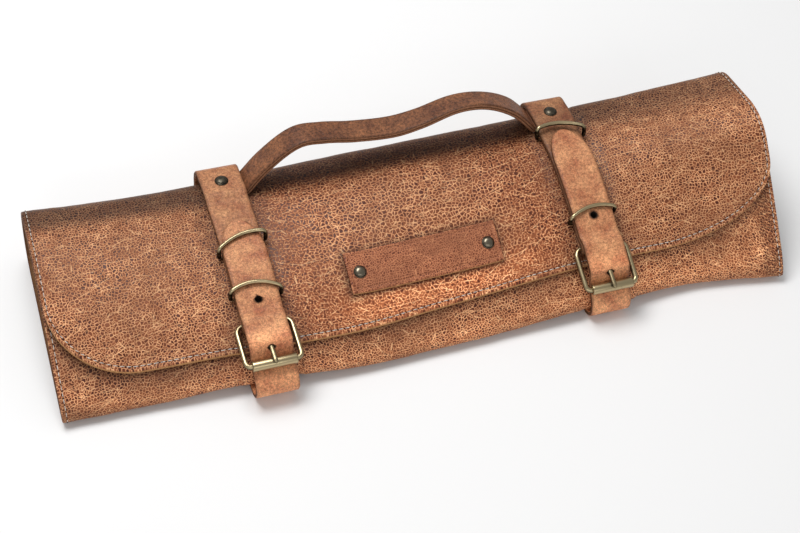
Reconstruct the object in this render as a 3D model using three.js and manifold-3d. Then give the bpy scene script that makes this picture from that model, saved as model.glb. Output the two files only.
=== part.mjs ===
// Chef knife roll: one leather sheet wound into a soft tube, closed by two buckled belts,
// carried by a strap handle between them. Millimetres, X along the roll, +Y to its back fold, +Z up.
// The belts' undersides lie on Z = 0.
import * as THREE from 'three';
import { mergeVertices } from 'three/addons/utils/BufferGeometryUtils.js';
import Module from 'manifold-3d';

const wasm = await Module();
wasm.setup();

// Roll
const rollLength = 468;
const rollDepth = 146;
const rollHeight = 52;
const wrapWall = 2.4;
const wrapGap = 1.0;
const foldRadius = 13;
const frontLean = 1;
const bulgeRadius = 23.4;
const shoulderRadius = 17.5;
const topInset = 7;
const topRadius = 11.2;
const backMiddle = 0.45;
const backInset = 6.5;
const flapLift = 3;
const flapLiftReach = 50;
const innerReach = 0.56;
const endSkew = 3;
const bellySag = 2.5;
const bellyReach = 60;
const dentEase = 9;

// Belts
const beltWidth = 26.5;
const beltThickness = 3.0;
const beltSpacing = 220;
const beltShift = 1;
const leafThickness = 1.3;
const leafLength = 8;
const leafBend = 5.6;
const tipLength = 24;
const tipBlunt = 0.1;
const holeDiameter = 4.2;
const holeSpacing = 32;
const humpReach = 8;
const bendStart = 9;
const bendEnd = 18;
const billetDrop = 0.42;
const climbLength = 8;
const fallLength = 16;
const backRise = 1.6;

// Handle
const handleWidth = 18;
const handleThickness = 4.0;
const handleRise = 30;
const handleOverhang = 8;
const handleCover = 2;
const handleStart = 2;

// Buckles and keepers
const frameWire = 3.0;
const frameLength = 27.5;
const heelCorner = 5;
const rollerCorner = 3.2;
const frameSide = 2.2;
const heelBarDiameter = 2.6;
const rollerDiameter = 6.4;
const prongWire = 2.8;
const prongEyeWire = 1.6;
const prongTaper = 0.8;
const prongEyeStart = -0.95 * Math.PI;
const keeperWire = 2.4;
const keeperFoot = 1.3;
const keeperSide = 1.0;

// Rivets and label
const beltRivetDiameter = 8.4;
const beltRivetDome = 1.8;
const labelLength = 98;
const labelHeight = 26;
const labelThickness = 1.8;
const labelPlace = -1.5;
const labelRise = 0.70;
const labelRivetDiameter = 8.0;
const labelRivetDome = 2.0;
const labelRivetInset = 7;
const shankDiameter = 3.0;

// Faceting: sides of round sections, and steps along sheets in millimetres
const frameSides = 8;
const thinWireSides = 6;
const rollerSides = 18;
const rivetSides = 12;
const holeSides = 14;
const outlineSteps = 720;
const cornerStep = 3.6;
const lineStep = 7;
const buckleStep = 3;
const tipStep = 2.4;
const handleStep = 6.5;
const labelStep = 15;
const labelRow = 5;

// Clearances
const gap = 0.35;
const sideClearance = 0.7;

// Sections along the roll. at: place along rollLength. height, bulge, drop: shares of rollHeight.
// front, shoulder, back: places across rollDepth, from its centre.
const sections = [
  { at: -0.500, height: 0.98, front: -0.470, shoulder: 0.150, back: 0.495, bulge: 0.10, drop: 0.08 },
  { at: -0.400, height: 0.92, front: -0.475, shoulder: 0.150, back: 0.490, bulge: 0.12, drop: 0.07 },
  { at: -0.230, height: 0.84, front: -0.490, shoulder: 0.150, back: 0.500, bulge: 0.13, drop: 0.05 },
  { at: -0.115, height: 0.93, front: -0.512, shoulder: 0.150, back: 0.500, bulge: 0.14, drop: 0.06 },
  { at: 0.000, height: 0.97, front: -0.505, shoulder: 0.140, back: 0.495, bulge: 0.14, drop: 0.06 },
  { at: 0.115, height: 1.00, front: -0.490, shoulder: 0.140, back: 0.495, bulge: 0.12, drop: 0.06 },
  { at: 0.238, height: 1.01, front: -0.475, shoulder: 0.135, back: 0.500, bulge: 0.10, drop: 0.05 },
  { at: 0.370, height: 1.23, front: -0.455, shoulder: 0.060, back: 0.480, bulge: 0.06, drop: 0.14 },
  { at: 0.500, height: 1.53, front: -0.512, shoulder: 0.000, back: 0.440, bulge: 0.02, drop: 0.22 },
];
const sectionColumns = Object.keys(sections[0]).filter((key) => key !== 'at');

// Lower edge of the flap. at: place along rollLength. share: place up the front.
const flapEdge = [
  { at: -0.500, share: 0.385 },
  { at: -0.250, share: 0.357 },
  { at: -0.120, share: 0.360 },
  { at: 0.000, share: 0.395 },
  { at: 0.120, share: 0.420 },
  { at: 0.300, share: 0.445 },
  { at: 0.500, share: 0.455 },
];

// Rounded corners of the flap, along the roll and up the front
const flapCorners = [
  { side: -1, along: 50, up: 46 },
  { side: 1, along: 84, up: 46 },
];

// Belts' fittings. heel and tip: places up the front. bend and standOff: how far the belt stands off
// at its lower bend and at the roller. hole: place of the prong's hole from roller to heel.
const belts = [
  { name: 'left', side: -1, heel: 0.508, tip: 1.16, bend: 8.0, standOff: 5.0, hole: 0.22 },
  { name: 'right', side: 1, heel: 0.542, tip: 1.33, bend: 0.5, standOff: 0.5, hole: 0.48 },
];

// Keepers. share: place up the front. lean: top moved up the belt, arch: its middle moved further up.
// skew: right end moved up the belt.
const keepers = [
  { name: 'lower', side: -1, share: 0.67, lean: 2.5, arch: 4.5, skew: -2.5 },
  { name: 'upper', side: -1, share: 0.99, lean: 2.0, arch: 4.0, skew: 7.0 },
  { name: 'lower', side: 1, share: 0.72, lean: 2.0, arch: 4.0, skew: 2.0 },
  { name: 'upper', side: 1, share: 1.32, lean: 1.5, arch: 4.0, skew: -5.0 },
];

// Rivet heads, half of each outline. across: share of the radius. up: share of the dome.
const rivetOutline = [
  { across: 1.0, up: 0 },
  { across: 1.0, up: 0.25 },
  { across: 0.7, up: 0.8 },
  { across: 0, up: 1.0 },
];

// The handle's wave. along: share of the way between the belts. rise: share of handleRise.
// twist: how far its back edge dips, in degrees.
const handleWave = [
  { along: 0.00, rise: 0.00, twist: 0 },
  { along: 0.07, rise: 0.52, twist: 2 },
  { along: 0.17, rise: 0.98, twist: 3 },
  { along: 0.26, rise: 0.96, twist: 3 },
  { along: 0.36, rise: 0.82, twist: 3 },
  { along: 0.50, rise: 0.71, twist: 4 },
  { along: 0.60, rise: 0.78, twist: 8 },
  { along: 0.72, rise: 0.97, twist: 12 },
  { along: 0.82, rise: 0.90, twist: 11 },
  { along: 0.92, rise: 0.56, twist: 4 },
  { along: 1.00, rise: 0.00, twist: 0 },
];

const strapFloor = beltThickness + gap;
const strapLift = keeperFoot + 2 * gap;
const billetLift = strapLift + beltThickness + gap;
const heelBar = heelBarDiameter / 2;
const heelLift = gap + Math.max(leafThickness, prongEyeWire) + gap + heelBar;
const foldInside = heelBar + gap;
const handleTop = gap + handleThickness + gap;
const frameWidth = beltWidth + 2 * frameSide + frameWire;

// Colours, roughness and metalness from the photo
const finish = {
  wrap: { color: 0x7c4c2e, roughness: 0.6, metalness: 0 },
  strap: { color: 0x8f5d3b, roughness: 0.55, metalness: 0 },
  label: { color: 0x6e3f2a, roughness: 0.6, metalness: 0 },
  brass: { color: 0x9a7b4a, roughness: 0.35, metalness: 1 },
  rivet: { color: 0x55514a, roughness: 0.4, metalness: 1 },
};

const roll = new THREE.Group();

function add(name, geometry, look) {
  const mesh = new THREE.Mesh(geometry, new THREE.MeshStandardMaterial(look));
  mesh.name = name;
  roll.add(mesh);
  return mesh;
}

// Smooth value of a column at a place, from a table sorted by its first column.
function blend(rows, key, place, column) {
  const last = rows.length - 1;
  const t = THREE.MathUtils.clamp(place, rows[0][key], rows[last][key]);
  let i = 0;
  while (i < last - 1 && t > rows[i + 1][key]) i += 1;
  const slope = (j) => {
    const a = rows[Math.max(j - 1, 0)];
    const b = rows[Math.min(j + 1, last)];
    return (b[column] - a[column]) / (b[key] - a[key]);
  };
  const from = rows[i];
  const to = rows[i + 1];
  const span = to[key] - from[key];
  const u = (t - from[key]) / span;
  const start = 2 * u ** 3 - 3 * u ** 2 + 1;
  const leave = (u ** 3 - 2 * u ** 2 + u) * span * slope(i);
  const arrive = (u ** 3 - u ** 2) * span * slope(i + 1);
  return start * from[column] + (1 - start) * to[column] + leave + arrive;
}

const smooth = (value, from, to) => THREE.MathUtils.smoothstep(value, from, to);
const mix = THREE.MathUtils.lerp;

// Closed solid from rings of points. Each ring runs along one side and back along the other,
// so the end caps are ladders between the two sides.
function loft(rings, closed = false) {
  const count = rings[0].length;
  const points = rings.flat();
  const index = [];
  const quad = (a, b, c, d) => index.push(a, b, c, a, c, d);
  const spans = closed ? rings.length : rings.length - 1;
  for (let r = 0; r < spans; r += 1) {
    const here = r * count;
    const next = ((r + 1) % rings.length) * count;
    for (let i = 0; i < count; i += 1) {
      const j = (i + 1) % count;
      quad(here + i, here + j, next + j, next + i);
    }
  }
  if (!closed) {
    const end = (rings.length - 1) * count;
    for (let i = 0; i < count / 2 - 1; i += 1) {
      const back = count - 1 - i;
      quad(i, back, back - 1, i + 1);
      quad(end + i, end + i + 1, end + back - 1, end + back);
    }
  }
  const places = points.flatMap((p) => [p.x, p.y, p.z]);
  const geometry = new THREE.BufferGeometry();
  geometry.setAttribute('position', new THREE.Float32BufferAttribute(places, 3));
  geometry.setIndex(index);
  return facingOut(geometry);
}

// Turns the faces round where the solid's signed volume is negative.
function facingOut(geometry) {
  const p = geometry.attributes.position;
  const index = geometry.index.array;
  const [a, b, c] = [new THREE.Vector3(), new THREE.Vector3(), new THREE.Vector3()];
  let volume = 0;
  for (let i = 0; i < index.length; i += 3) {
    a.fromBufferAttribute(p, index[i]);
    b.fromBufferAttribute(p, index[i + 1]);
    c.fromBufferAttribute(p, index[i + 2]);
    volume += a.dot(b.cross(c));
  }
  if (volume < 0) {
    const flipped = [];
    for (let i = 0; i < index.length; i += 3) flipped.push(index[i], index[i + 2], index[i + 1]);
    geometry.setIndex(flipped);
  }
  return geometry;
}

function toSolid(geometry) {
  const bare = geometry.clone();
  bare.deleteAttribute('normal');
  bare.deleteAttribute('uv');
  const merged = mergeVertices(bare, 1e-4);
  const mesh = new wasm.Mesh({
    numProp: 3,
    vertProperties: Float32Array.from(merged.attributes.position.array),
    triVerts: Uint32Array.from(merged.index.array),
  });
  return new wasm.Manifold(mesh);
}

function cutAway(geometry, tools) {
  let solid = toSolid(geometry);
  for (const tool of tools) solid = solid.subtract(toSolid(tool));
  const mesh = solid.getMesh();
  const result = new THREE.BufferGeometry();
  result.setAttribute('position', new THREE.Float32BufferAttribute(mesh.vertProperties, 3));
  result.setIndex(new THREE.Uint32BufferAttribute(mesh.triVerts, 1));
  return result;
}

// Section of the roll
function sectionAt(x) {
  const at = x / rollLength;
  const row = {};
  for (const key of sectionColumns) row[key] = blend(sections, 'at', at, key);
  return row;
}

// The belts press flat dents, so the section stays the same under each belt and its buckle.
const tiny = 1e-6;
const pressedHalf = (frameWidth + frameWire) / 2 + sideClearance;

function pressed(x) {
  for (const belt of belts) {
    const centre = beltCentre(belt);
    if (Math.abs(x - centre) <= pressedHalf + tiny) return centre;
  }
  return x;
}

function beltCentre(belt) {
  return belt.side * beltSpacing / 2 + beltShift;
}

// How far a place lies from the nearest belt's pressed dent
function beltDistance(x) {
  const reach = belts.map((belt) => Math.abs(x - beltCentre(belt)) - pressedHalf);
  return Math.max(Math.min(...reach), 0);
}

// Outer outline at x: a polygon with rounded corners in the YZ plane, from the front fold's foot,
// up the front, over the top and back along the bottom.
const outlines = new Map();

function outlineAt(x) {
  const place = pressed(x);
  if (outlines.has(place)) return outlines.get(place);
  const row = sectionAt(place);
  const floor = strapFloor - bellySag * smooth(beltDistance(place), 0, bellyReach);
  const crest = strapFloor + row.height * rollHeight;
  const front = row.front * rollDepth;
  const shoulder = row.shoulder * rollDepth;
  const back = row.back * rollDepth;
  const foot = floor + foldRadius;
  const corners = [
    { y: front, z: floor, r: foldRadius },
    { y: front + frontLean, z: foot, r: foldRadius },
    { y: (front + shoulder) / 2, z: (foot + crest) / 2 + row.bulge * rollHeight, r: bulgeRadius },
    { y: shoulder, z: crest, r: shoulderRadius },
    { y: back - topInset, z: crest - row.drop * rollHeight, r: topRadius },
    { y: back, z: mix(floor, crest, backMiddle), r: foldRadius },
    { y: back - backInset, z: floor, r: foldRadius },
  ];
  const outline = roundedOutline(corners);
  outlines.set(place, outline);
  return outline;
}

// Each corner takes less than half of the straight beside it.
function roundedOutline(corners) {
  const mostOfSide = 0.48;
  const path = new THREE.Path();
  const points = corners.map((c) => new THREE.Vector2(c.y, c.z));
  const count = points.length;
  const cut = (i, towards) => {
    const reach = points[i].distanceTo(points[towards]);
    return points[i].clone().lerp(points[towards], Math.min(corners[i].r / reach, mostOfSide));
  };
  const start = cut(0, count - 1);
  path.moveTo(start.x, start.y);
  points.forEach((point, i) => {
    const before = cut(i, (i + count - 1) % count);
    const after = cut(i, (i + 1) % count);
    if (i > 0) path.lineTo(before.x, before.y);
    path.quadraticCurveTo(point.x, point.y, after.x, after.y);
  });
  path.lineTo(start.x, start.y);
  const dense = path.getSpacedPoints(outlineSteps);
  dense.pop();
  const total = path.getLength();
  const lengths = path.getCurveLengths();
  return { dense, total, lengths };
}

// Point on the outline at a length s from its start, moved out by lift.
function onOutline(outline, s, lift = 0) {
  const { dense, total } = outline;
  const count = dense.length;
  const place = (((s / total) % 1) + 1) % 1 * count;
  const i = Math.floor(place) % count;
  const a = dense[i];
  const b = dense[(i + 1) % count];
  const before = dense[(i + count - 2) % count];
  const after = dense[(i + 3) % count];
  const tangent = after.clone().sub(before).normalize();
  const normal = new THREE.Vector2(-tangent.y, tangent.x);
  const point = a.clone().lerp(b, place - Math.floor(place)).addScaledVector(normal, lift);
  return { point, normal, tangent };
}

// The outline's curves in turn: even ones are corners, odd ones the straights between them.
const frontEnd = 5;
const shoulderEnd = 6;
const topEnd = 7;
const topCorner = 8;
const backEnd = 9;

const frontRun = (x) => outlineAt(x).lengths[frontEnd];

// Length up the front where the flap ends, with an elliptical corner at each end
function flapStart(x) {
  const straight = blend(flapEdge, 'at', x / rollLength, 'share') * frontRun(x);
  const corner = flapCorners[x < 0 ? 0 : 1];
  const inset = THREE.MathUtils.clamp((rollLength / 2 - Math.abs(x)) / corner.along, 0, 1);
  return straight + corner.up * (1 - Math.sqrt(1 - (1 - inset) ** 2));
}

// The wrap, as one spiral strip section at each station along the roll
function wrapRing(x) {
  const outline = outlineAt(x);
  const { total, lengths } = outline;
  const start = flapStart(x);
  const reach = lengths[shoulderEnd];
  const stops = [];
  const flapSteps = 9;
  for (let i = 0; i <= flapSteps; i += 1) stops.push(mix(start, reach, i / flapSteps));
  const cornerSteps = 4;
  const lineSteps = 1;
  const turn = (offset, fromCurve, toCurve) => {
    for (let c = fromCurve; c < toCurve; c += 1) {
      const steps = c % 2 === 0 ? cornerSteps : lineSteps;
      const low = c === 0 ? 0 : lengths[c - 1];
      for (let i = 1; i <= steps; i += 1) stops.push(offset + mix(low, lengths[c], i / steps));
    }
  };
  turn(0, shoulderEnd + 1, lengths.length);
  turn(total, 0, backEnd);
  stops.push(total + mix(lengths[topCorner], lengths[backEnd], innerReach));
  const tuck = wrapWall + wrapGap;
  const outer = [];
  const inner = [];
  const nearEnd = 1 - smooth(x + rollLength / 2, 0, flapLiftReach);
  for (const s of stops) {
    const sink = tuck * smooth(s - total, 0, 2 * foldRadius);
    const nearEdge = 1 - smooth(s - start, 0, flapLiftReach);
    const lift = flapLift * nearEdge * nearEnd - sink;
    for (const [side, depth] of [[outer, 0], [inner, wrapWall]]) {
      const { point } = onOutline(outline, s, lift - depth);
      const skew = endSkew * nearEnd * (0.5 + point.x / rollDepth);
      side.push(new THREE.Vector3(x + skew, point.x, point.y));
    }
  }
  return outer.concat(inner.reverse());
}

// Stations along the roll: close together round the flap's corners and beside the belts
function wrapStations() {
  const half = rollLength / 2;
  const cornerPlaces = [0, 0.02, 0.08, 0.18, 0.34, 0.58, 1];
  const middlePlaces = [-0.12, -0.04, 0.04, 0.12];
  const stations = [];
  for (const corner of flapCorners) {
    stations.push(...cornerPlaces.map((share) => corner.side * (half - share * corner.along)));
  }
  for (const belt of belts) {
    const centre = beltCentre(belt);
    for (const side of [-1, 1]) {
      stations.push(centre + side * pressedHalf, centre + side * (pressedHalf + dentEase));
    }
  }
  stations.push(...middlePlaces.map((share) => share * rollLength));
  return stations.sort((a, b) => a - b);
}

// Value at a place from rows of [place, value], eased between them
function ramp(rows, place) {
  const last = rows.length - 1;
  if (place <= rows[0][0]) return rows[0][1];
  if (place >= rows[last][0]) return rows[last][1];
  let i = 0;
  while (place > rows[i + 1][0]) i += 1;
  return mix(rows[i][1], rows[i + 1][1], smooth(place, rows[i][0], rows[i + 1][0]));
}

function evenly(from, to, step) {
  const count = Math.max(1, Math.ceil(Math.abs(to - from) / step));
  return Array.from({ length: count + 1 }, (_, i) => mix(from, to, i / count));
}

// Stops along the outline for a strap: close together round the corners, wider on the straights
function pathStops(outline, from, to) {
  const { total, lengths } = outline;
  const knots = [0, total].flatMap((turn) => lengths.map((length) => turn + length));
  const inside = knots.filter((knot) => knot > from + gap && knot < to - gap);
  const bounds = [from, ...inside, to];
  return bounds.slice(1).flatMap((bound, i) => {
    const corner = knots.indexOf(bound) % 2 === 0;
    const steps = evenly(bounds[i], bound, corner ? cornerStep : lineStep);
    return i === 0 ? steps : steps.slice(1);
  });
}

const inPlane = (x, point) => new THREE.Vector3(x, point.x, point.y);

// Where a belt's fittings lie: lengths along the outline under it, and places of the buckle's two bars
function beltLayout(belt) {
  const x = beltCentre(belt);
  const outline = outlineAt(x);
  const run = frontRun(x);
  const heel = belt.heel * run;
  const heelPlace = onOutline(outline, heel, heelLift);
  const rollerLift = gap + belt.standOff + beltThickness + gap + rollerDiameter / 2;
  let low = heel - 2 * frameLength;
  let high = heel;
  while (high - low > tiny) {
    const trial = (low + high) / 2;
    const reach = onOutline(outline, trial, rollerLift).point.distanceTo(heelPlace.point);
    if (reach > frameLength) low = trial;
    else high = trial;
  }
  const roller = (low + high) / 2;
  const rollerPlace = onOutline(outline, roller, rollerLift);
  const handle = outline.lengths[topEnd] + handleOverhang - handleWidth / 2;
  const tip = belt.tip * run;
  const prongHole = outline.total + mix(roller, heel, belt.hole);
  const hump = mix(rollerLift, heelLift, billetDrop) + prongWire + gap;
  return { belt, x, outline, run, heel, heelPlace, roller, rollerPlace, handle, tip, prongHole, hump };
}

// Lift of the belt's inner face along its path: first turn over the handle, second turn as the billet
function beltLift(layout, q) {
  const { belt, outline, heel, roller, handle, hump } = layout;
  const { total } = outline;
  const handleFront = handle - handleWidth / 2;
  const handleBack = handle + handleWidth / 2;
  const overHeel = heelLift + foldInside + beltThickness + gap;
  return ramp([
    [heel, heelLift + foldInside],
    [heel + humpReach, strapLift],
    [handleFront - climbLength, strapLift],
    [handleFront - gap, handleTop],
    [handle + beltRivetDiameter / 2, handleTop],
    [handleBack, handleTop + backRise],
    [handleBack + fallLength, gap],
    [total + bendStart, gap],
    [total + bendEnd, gap + belt.bend],
    [total + roller, gap + belt.standOff],
    [total + mix(roller, heel, billetDrop), hump],
    [total + heel, overHeel],
    [total + heel + humpReach, billetLift],
  ], q);
}

// The belt narrows to a rounded point over its last stretch
function beltHalfWidth(layout, q) {
  const left = layout.outline.total + layout.tip - q;
  if (left >= tipLength) return beltWidth / 2;
  return beltWidth / 2 * Math.max(Math.sqrt(1 - (1 - left / tipLength) ** 2), tipBlunt);
}

function strapRing(x, half, innerFace, outerFace) {
  return [
    inPlane(x - half, innerFace), inPlane(x + half, innerFace),
    inPlane(x + half, outerFace), inPlane(x - half, outerFace),
  ];
}

// The belt from its thin leaf under the heel bar, round the bar and twice up the front to its tip
function beltBody(layout) {
  const { x, outline, heel, heelPlace, roller, tip } = layout;
  const { total } = outline;
  const rings = [];
  const leafLow = heelLift - foldInside - leafThickness;
  for (const s of evenly(heel + leafLength, heel, leafLength / 2)) {
    const low = ramp([[heel, leafLow], [heel + leafBend, gap]], s);
    const under = onOutline(outline, s, low).point;
    const over = onOutline(outline, s, low + leafThickness).point;
    rings.push(strapRing(x, beltWidth / 2, over, under));
  }
  const foldSteps = 8;
  for (let i = 1; i < foldSteps; i += 1) {
    const angle = mix(-Math.PI / 2, -3 * Math.PI / 2, i / foldSteps);
    const thickness = mix(leafThickness, beltThickness, i / foldSteps);
    const out = around(heelPlace, angle);
    const near = heelPlace.point.clone().addScaledVector(out, foldInside);
    const far = heelPlace.point.clone().addScaledVector(out, foldInside + thickness);
    rings.push(strapRing(x, beltWidth / 2, near, far));
  }
  const end = total + tip;
  const stops = [
    ...pathStops(outline, heel, total + roller),
    ...evenly(total + roller, total + heel, buckleStep).slice(1),
    ...pathStops(outline, total + heel, end - tipLength).slice(1),
    ...evenly(end - tipLength, end, tipStep).slice(1),
  ];
  for (const q of stops) {
    const lift = beltLift(layout, q);
    const near = onOutline(outline, q, lift).point;
    const far = onOutline(outline, q, lift + beltThickness).point;
    rings.push(strapRing(x, beltHalfWidth(layout, q), near, far));
  }
  return loft(rings);
}

// Direction at an angle from the way up the slope towards the outside
function around(place, angle) {
  const way = place.tangent.clone().multiplyScalar(Math.cos(angle));
  return way.addScaledVector(place.normal, Math.sin(angle));
}

// Round rod along a path in the YZ plane at x, with a radius at each point
function rod(x, path, radii, sides) {
  const rings = path.map((point, i) => {
    const before = path[Math.max(i - 1, 0)];
    const after = path[Math.min(i + 1, path.length - 1)];
    const way = after.clone().sub(before).normalize();
    const across = new THREE.Vector2(-way.y, way.x);
    return Array.from({ length: sides }, (_, k) => {
      const angle = (k + 0.5) / sides * Math.PI * 2;
      const spot = point.clone().addScaledVector(across, radii[i] * Math.sin(angle));
      return inPlane(x + radii[i] * Math.cos(angle), spot);
    });
  });
  return loft(rings);
}

// Prong: an eye round the heel bar, then a shaft up through the billet to the roller
function prong(layout, extra = 0) {
  const { x, heelPlace, rollerPlace } = layout;
  const eye = prongEyeWire / 2;
  const shaft = prongWire / 2;
  const eyeRadius = heelBar + gap + eye;
  const path = [];
  const radii = [];
  const eyeStep = 0.5;
  for (const angle of evenly(prongEyeStart, Math.PI / 2, eyeStep)) {
    path.push(heelPlace.point.clone().addScaledVector(around(heelPlace, angle), eyeRadius));
    radii.push(eye + extra);
  }
  const { along, out } = frameAxes(layout);
  const start = path[path.length - 1];
  const restLift = rollerDiameter / 2 + gap + shaft * prongTaper;
  const end = rollerPlace.point.clone().addScaledVector(out, restLift);
  for (const share of [0.25, 0.5, 0.75, 1]) {
    path.push(start.clone().lerp(end, share));
    radii.push(shaft * mix(1, prongTaper, share) + extra);
  }
  path.push(end.clone().addScaledVector(along, prongWire));
  radii.push(shaft * prongTaper ** 2 + extra);
  return rod(x, path, radii, thinWireSides);
}

// The buckle's plane: from the heel bar towards the roller, and outwards
function frameAxes(layout) {
  const along = layout.rollerPlace.point.clone().sub(layout.heelPlace.point).normalize();
  const out = new THREE.Vector2(along.y, -along.x);
  if (out.dot(layout.heelPlace.normal) < 0) out.negate();
  return { along, out };
}

// Rounded rectangle as points with outward directions, from its low side round to its high side
function roundedLoop(half, low, high, lowRadius, highRadius, steps) {
  const corners = [
    { u: half - lowRadius, v: low + lowRadius, r: lowRadius, turn: -0.5 },
    { u: half - highRadius, v: high - highRadius, r: highRadius, turn: 0 },
    { u: highRadius - half, v: high - highRadius, r: highRadius, turn: 0.5 },
    { u: lowRadius - half, v: low + lowRadius, r: lowRadius, turn: 1 },
  ];
  const spots = corners.flatMap((corner) => Array.from({ length: steps + 1 }, (_, i) => {
    const angle = (corner.turn + 0.5 * i / steps) * Math.PI;
    const out = new THREE.Vector2(Math.cos(angle), Math.sin(angle));
    return { u: corner.u + corner.r * out.x, v: corner.v + corner.r * out.y, out };
  }));
  const topStart = 2 * (steps + 1);
  const topShares = [0.7, 0.35, 0, -0.35, -0.7];
  const top = topShares.map((share) => {
    return { u: share * (half - highRadius), v: high, out: new THREE.Vector2(0, 1) };
  });
  return spots.slice(0, topStart).concat(top, spots.slice(topStart));
}

function buckleFrame(layout) {
  const { x, heelPlace } = layout;
  const { along, out } = frameAxes(layout);
  const wire = frameWire / 2;
  const loop = roundedLoop(frameWidth / 2, 0, frameLength, heelCorner, rollerCorner, 4);
  const sides = frameSides;
  return loft(loop.map((spot) => {
    const radius = mix(heelBar, wire, smooth(spot.v, 0, heelCorner));
    return Array.from({ length: sides }, (_, k) => {
      const angle = (k + 0.5) / sides * Math.PI * 2;
      const u = spot.u + radius * Math.cos(angle) * spot.out.x;
      const v = spot.v + radius * Math.cos(angle) * spot.out.y;
      const w = radius * Math.sin(angle);
      return inPlane(x + u, heelPlace.point.clone().addScaledVector(along, v).addScaledVector(out, w));
    });
  }), true);
}

function roller() {
  const length = frameWidth - 2 * rollerCorner;
  const bore = frameWire / 2 + gap;
  const outside = rollerDiameter / 2;
  const profile = [[bore, -0.5], [outside, -0.5], [outside, 0.5], [bore, 0.5], [bore, -0.5]];
  const points = profile.map(([r, end]) => new THREE.Vector2(r, end * length));
  return new THREE.LatheGeometry(points, rollerSides);
}

function keeperLoop(layout, keeper) {
  const { x, outline, run } = layout;
  const place = onOutline(outline, keeper.share * run);
  const wire = keeperWire / 2;
  const low = gap + keeperFoot / 2;
  const high = billetLift + beltThickness + gap + wire;
  const half = beltWidth / 2 + keeperSide + wire;
  const loop = roundedLoop(half, low, high, keeperWire, keeperWire, 3);
  const sides = thinWireSides;
  return loft(loop.map((spot) => {
    const thickness = mix(keeperFoot / 2, wire, smooth(spot.v, low, low + keeperWire));
    const rise = (spot.v - low) / (high - low);
    const bow = keeper.arch * rise * (1 - (spot.u / half) ** 2);
    const shift = keeper.lean * rise + bow + keeper.skew * spot.u / half / 2;
    return Array.from({ length: sides }, (_, k) => {
      const angle = (k + 0.5) / sides * Math.PI * 2;
      const u = spot.u + thickness * Math.cos(angle) * spot.out.x;
      const v = spot.v + thickness * Math.cos(angle) * spot.out.y;
      const w = shift + wire * Math.sin(angle);
      const point = place.point.clone().addScaledVector(place.normal, v);
      return inPlane(x + u, point.addScaledVector(place.tangent, w));
    });
  }), true);
}

// Rivet with a domed cap at y = 0 and a shank below it
function rivet(diameter, dome, shank) {
  const head = rivetOutline.map(({ across, up }) => [across * diameter / 2, up * dome]);
  const profile = [[0, -shank], [shankDiameter / 2, -shank], [shankDiameter / 2, 0], ...head];
  return new THREE.LatheGeometry(profile.map(([r, y]) => new THREE.Vector2(r, y)), rivetSides);
}

const upright = new THREE.Vector3(0, 1, 0);

function stand(mesh, point, normal) {
  mesh.position.copy(point);
  mesh.quaternion.setFromUnitVectors(upright, normal);
  return mesh;
}

// Round punch along a direction, for cutting a hole
function punch(diameter, from, to, point, normal) {
  const geometry = new THREE.CylinderGeometry(diameter / 2, diameter / 2, to - from, holeSides);
  geometry.translate(0, (from + to) / 2, 0);
  const turn = new THREE.Quaternion().setFromUnitVectors(upright, normal);
  geometry.applyQuaternion(turn);
  geometry.translate(point.x, point.y, point.z);
  return geometry;
}

// Slot through the fold round the heel bar, where the prong's eye sits
function foldSlot(layout) {
  const { x, heelPlace } = layout;
  const width = prongWire + 2 * sideClearance;
  const low = heelLift;
  const high = foldInside + beltThickness + gap / 2;
  const reach = foldInside + beltThickness + gap;
  const geometry = new THREE.BoxGeometry(width, 2 * reach, low + high);
  geometry.translate(0, 0, (high - low) / 2);
  const turn = Math.atan2(heelPlace.tangent.y, heelPlace.tangent.x);
  geometry.rotateX(turn);
  const centre = inPlane(x, heelPlace.point);
  geometry.translate(centre.x, centre.y, centre.z);
  return geometry;
}

const layouts = belts.map(beltLayout);

for (const layout of layouts) {
  const { belt, x, outline, handle, prongHole } = layout;
  const rivetPlace = onOutline(outline, handle, beltLift(layout, handle) + beltThickness);
  const rivetNormal = inPlane(0, rivetPlace.normal);
  const rivetPoint = inPlane(x, rivetPlace.point);
  const punches = [prong(layout, gap), foldSlot(layout)];
  punches.push(punch(shankDiameter + 2 * gap, -handleTop, beltThickness, rivetPoint, rivetNormal));
  for (const step of [1, -1, -2]) {
    const q = prongHole + step * holeSpacing;
    const place = onOutline(outline, q, beltLift(layout, q));
    const point = inPlane(x, place.point);
    punches.push(punch(holeDiameter, -gap / 2, beltThickness * 2, point, inPlane(0, place.normal)));
  }
  add(`belt_${belt.name}`, cutAway(beltBody(layout), punches), finish.strap);
  add(`buckle_frame_${belt.name}`, buckleFrame(layout), finish.brass);
  const tube = add(`buckle_roller_${belt.name}`, roller(), finish.brass);
  tube.position.copy(inPlane(x, layout.rollerPlace.point));
  tube.rotation.z = -Math.PI / 2;
  add(`buckle_prong_${belt.name}`, prong(layout), finish.brass);
  for (const keeper of keepers.filter((k) => k.side === belt.side)) {
    add(`keeper_${keeper.name}_${belt.name}`, keeperLoop(layout, keeper), finish.brass);
  }
  const shank = beltThickness + gap + handleThickness;
  const head = rivet(beltRivetDiameter, beltRivetDome, shank);
  const cap = add(`belt_rivet_${belt.name}`, head, finish.rivet);
  stand(cap, rivetPoint.clone().addScaledVector(rivetNormal, gap), rivetNormal);
}

// Handle: a flat strap that rises in a wave between the belts, its ends under them
const [left, right] = layouts;
const waveStart = left.x + beltWidth / 2 + handleStart;
const waveEnd = right.x - beltWidth / 2 - handleStart;

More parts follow.
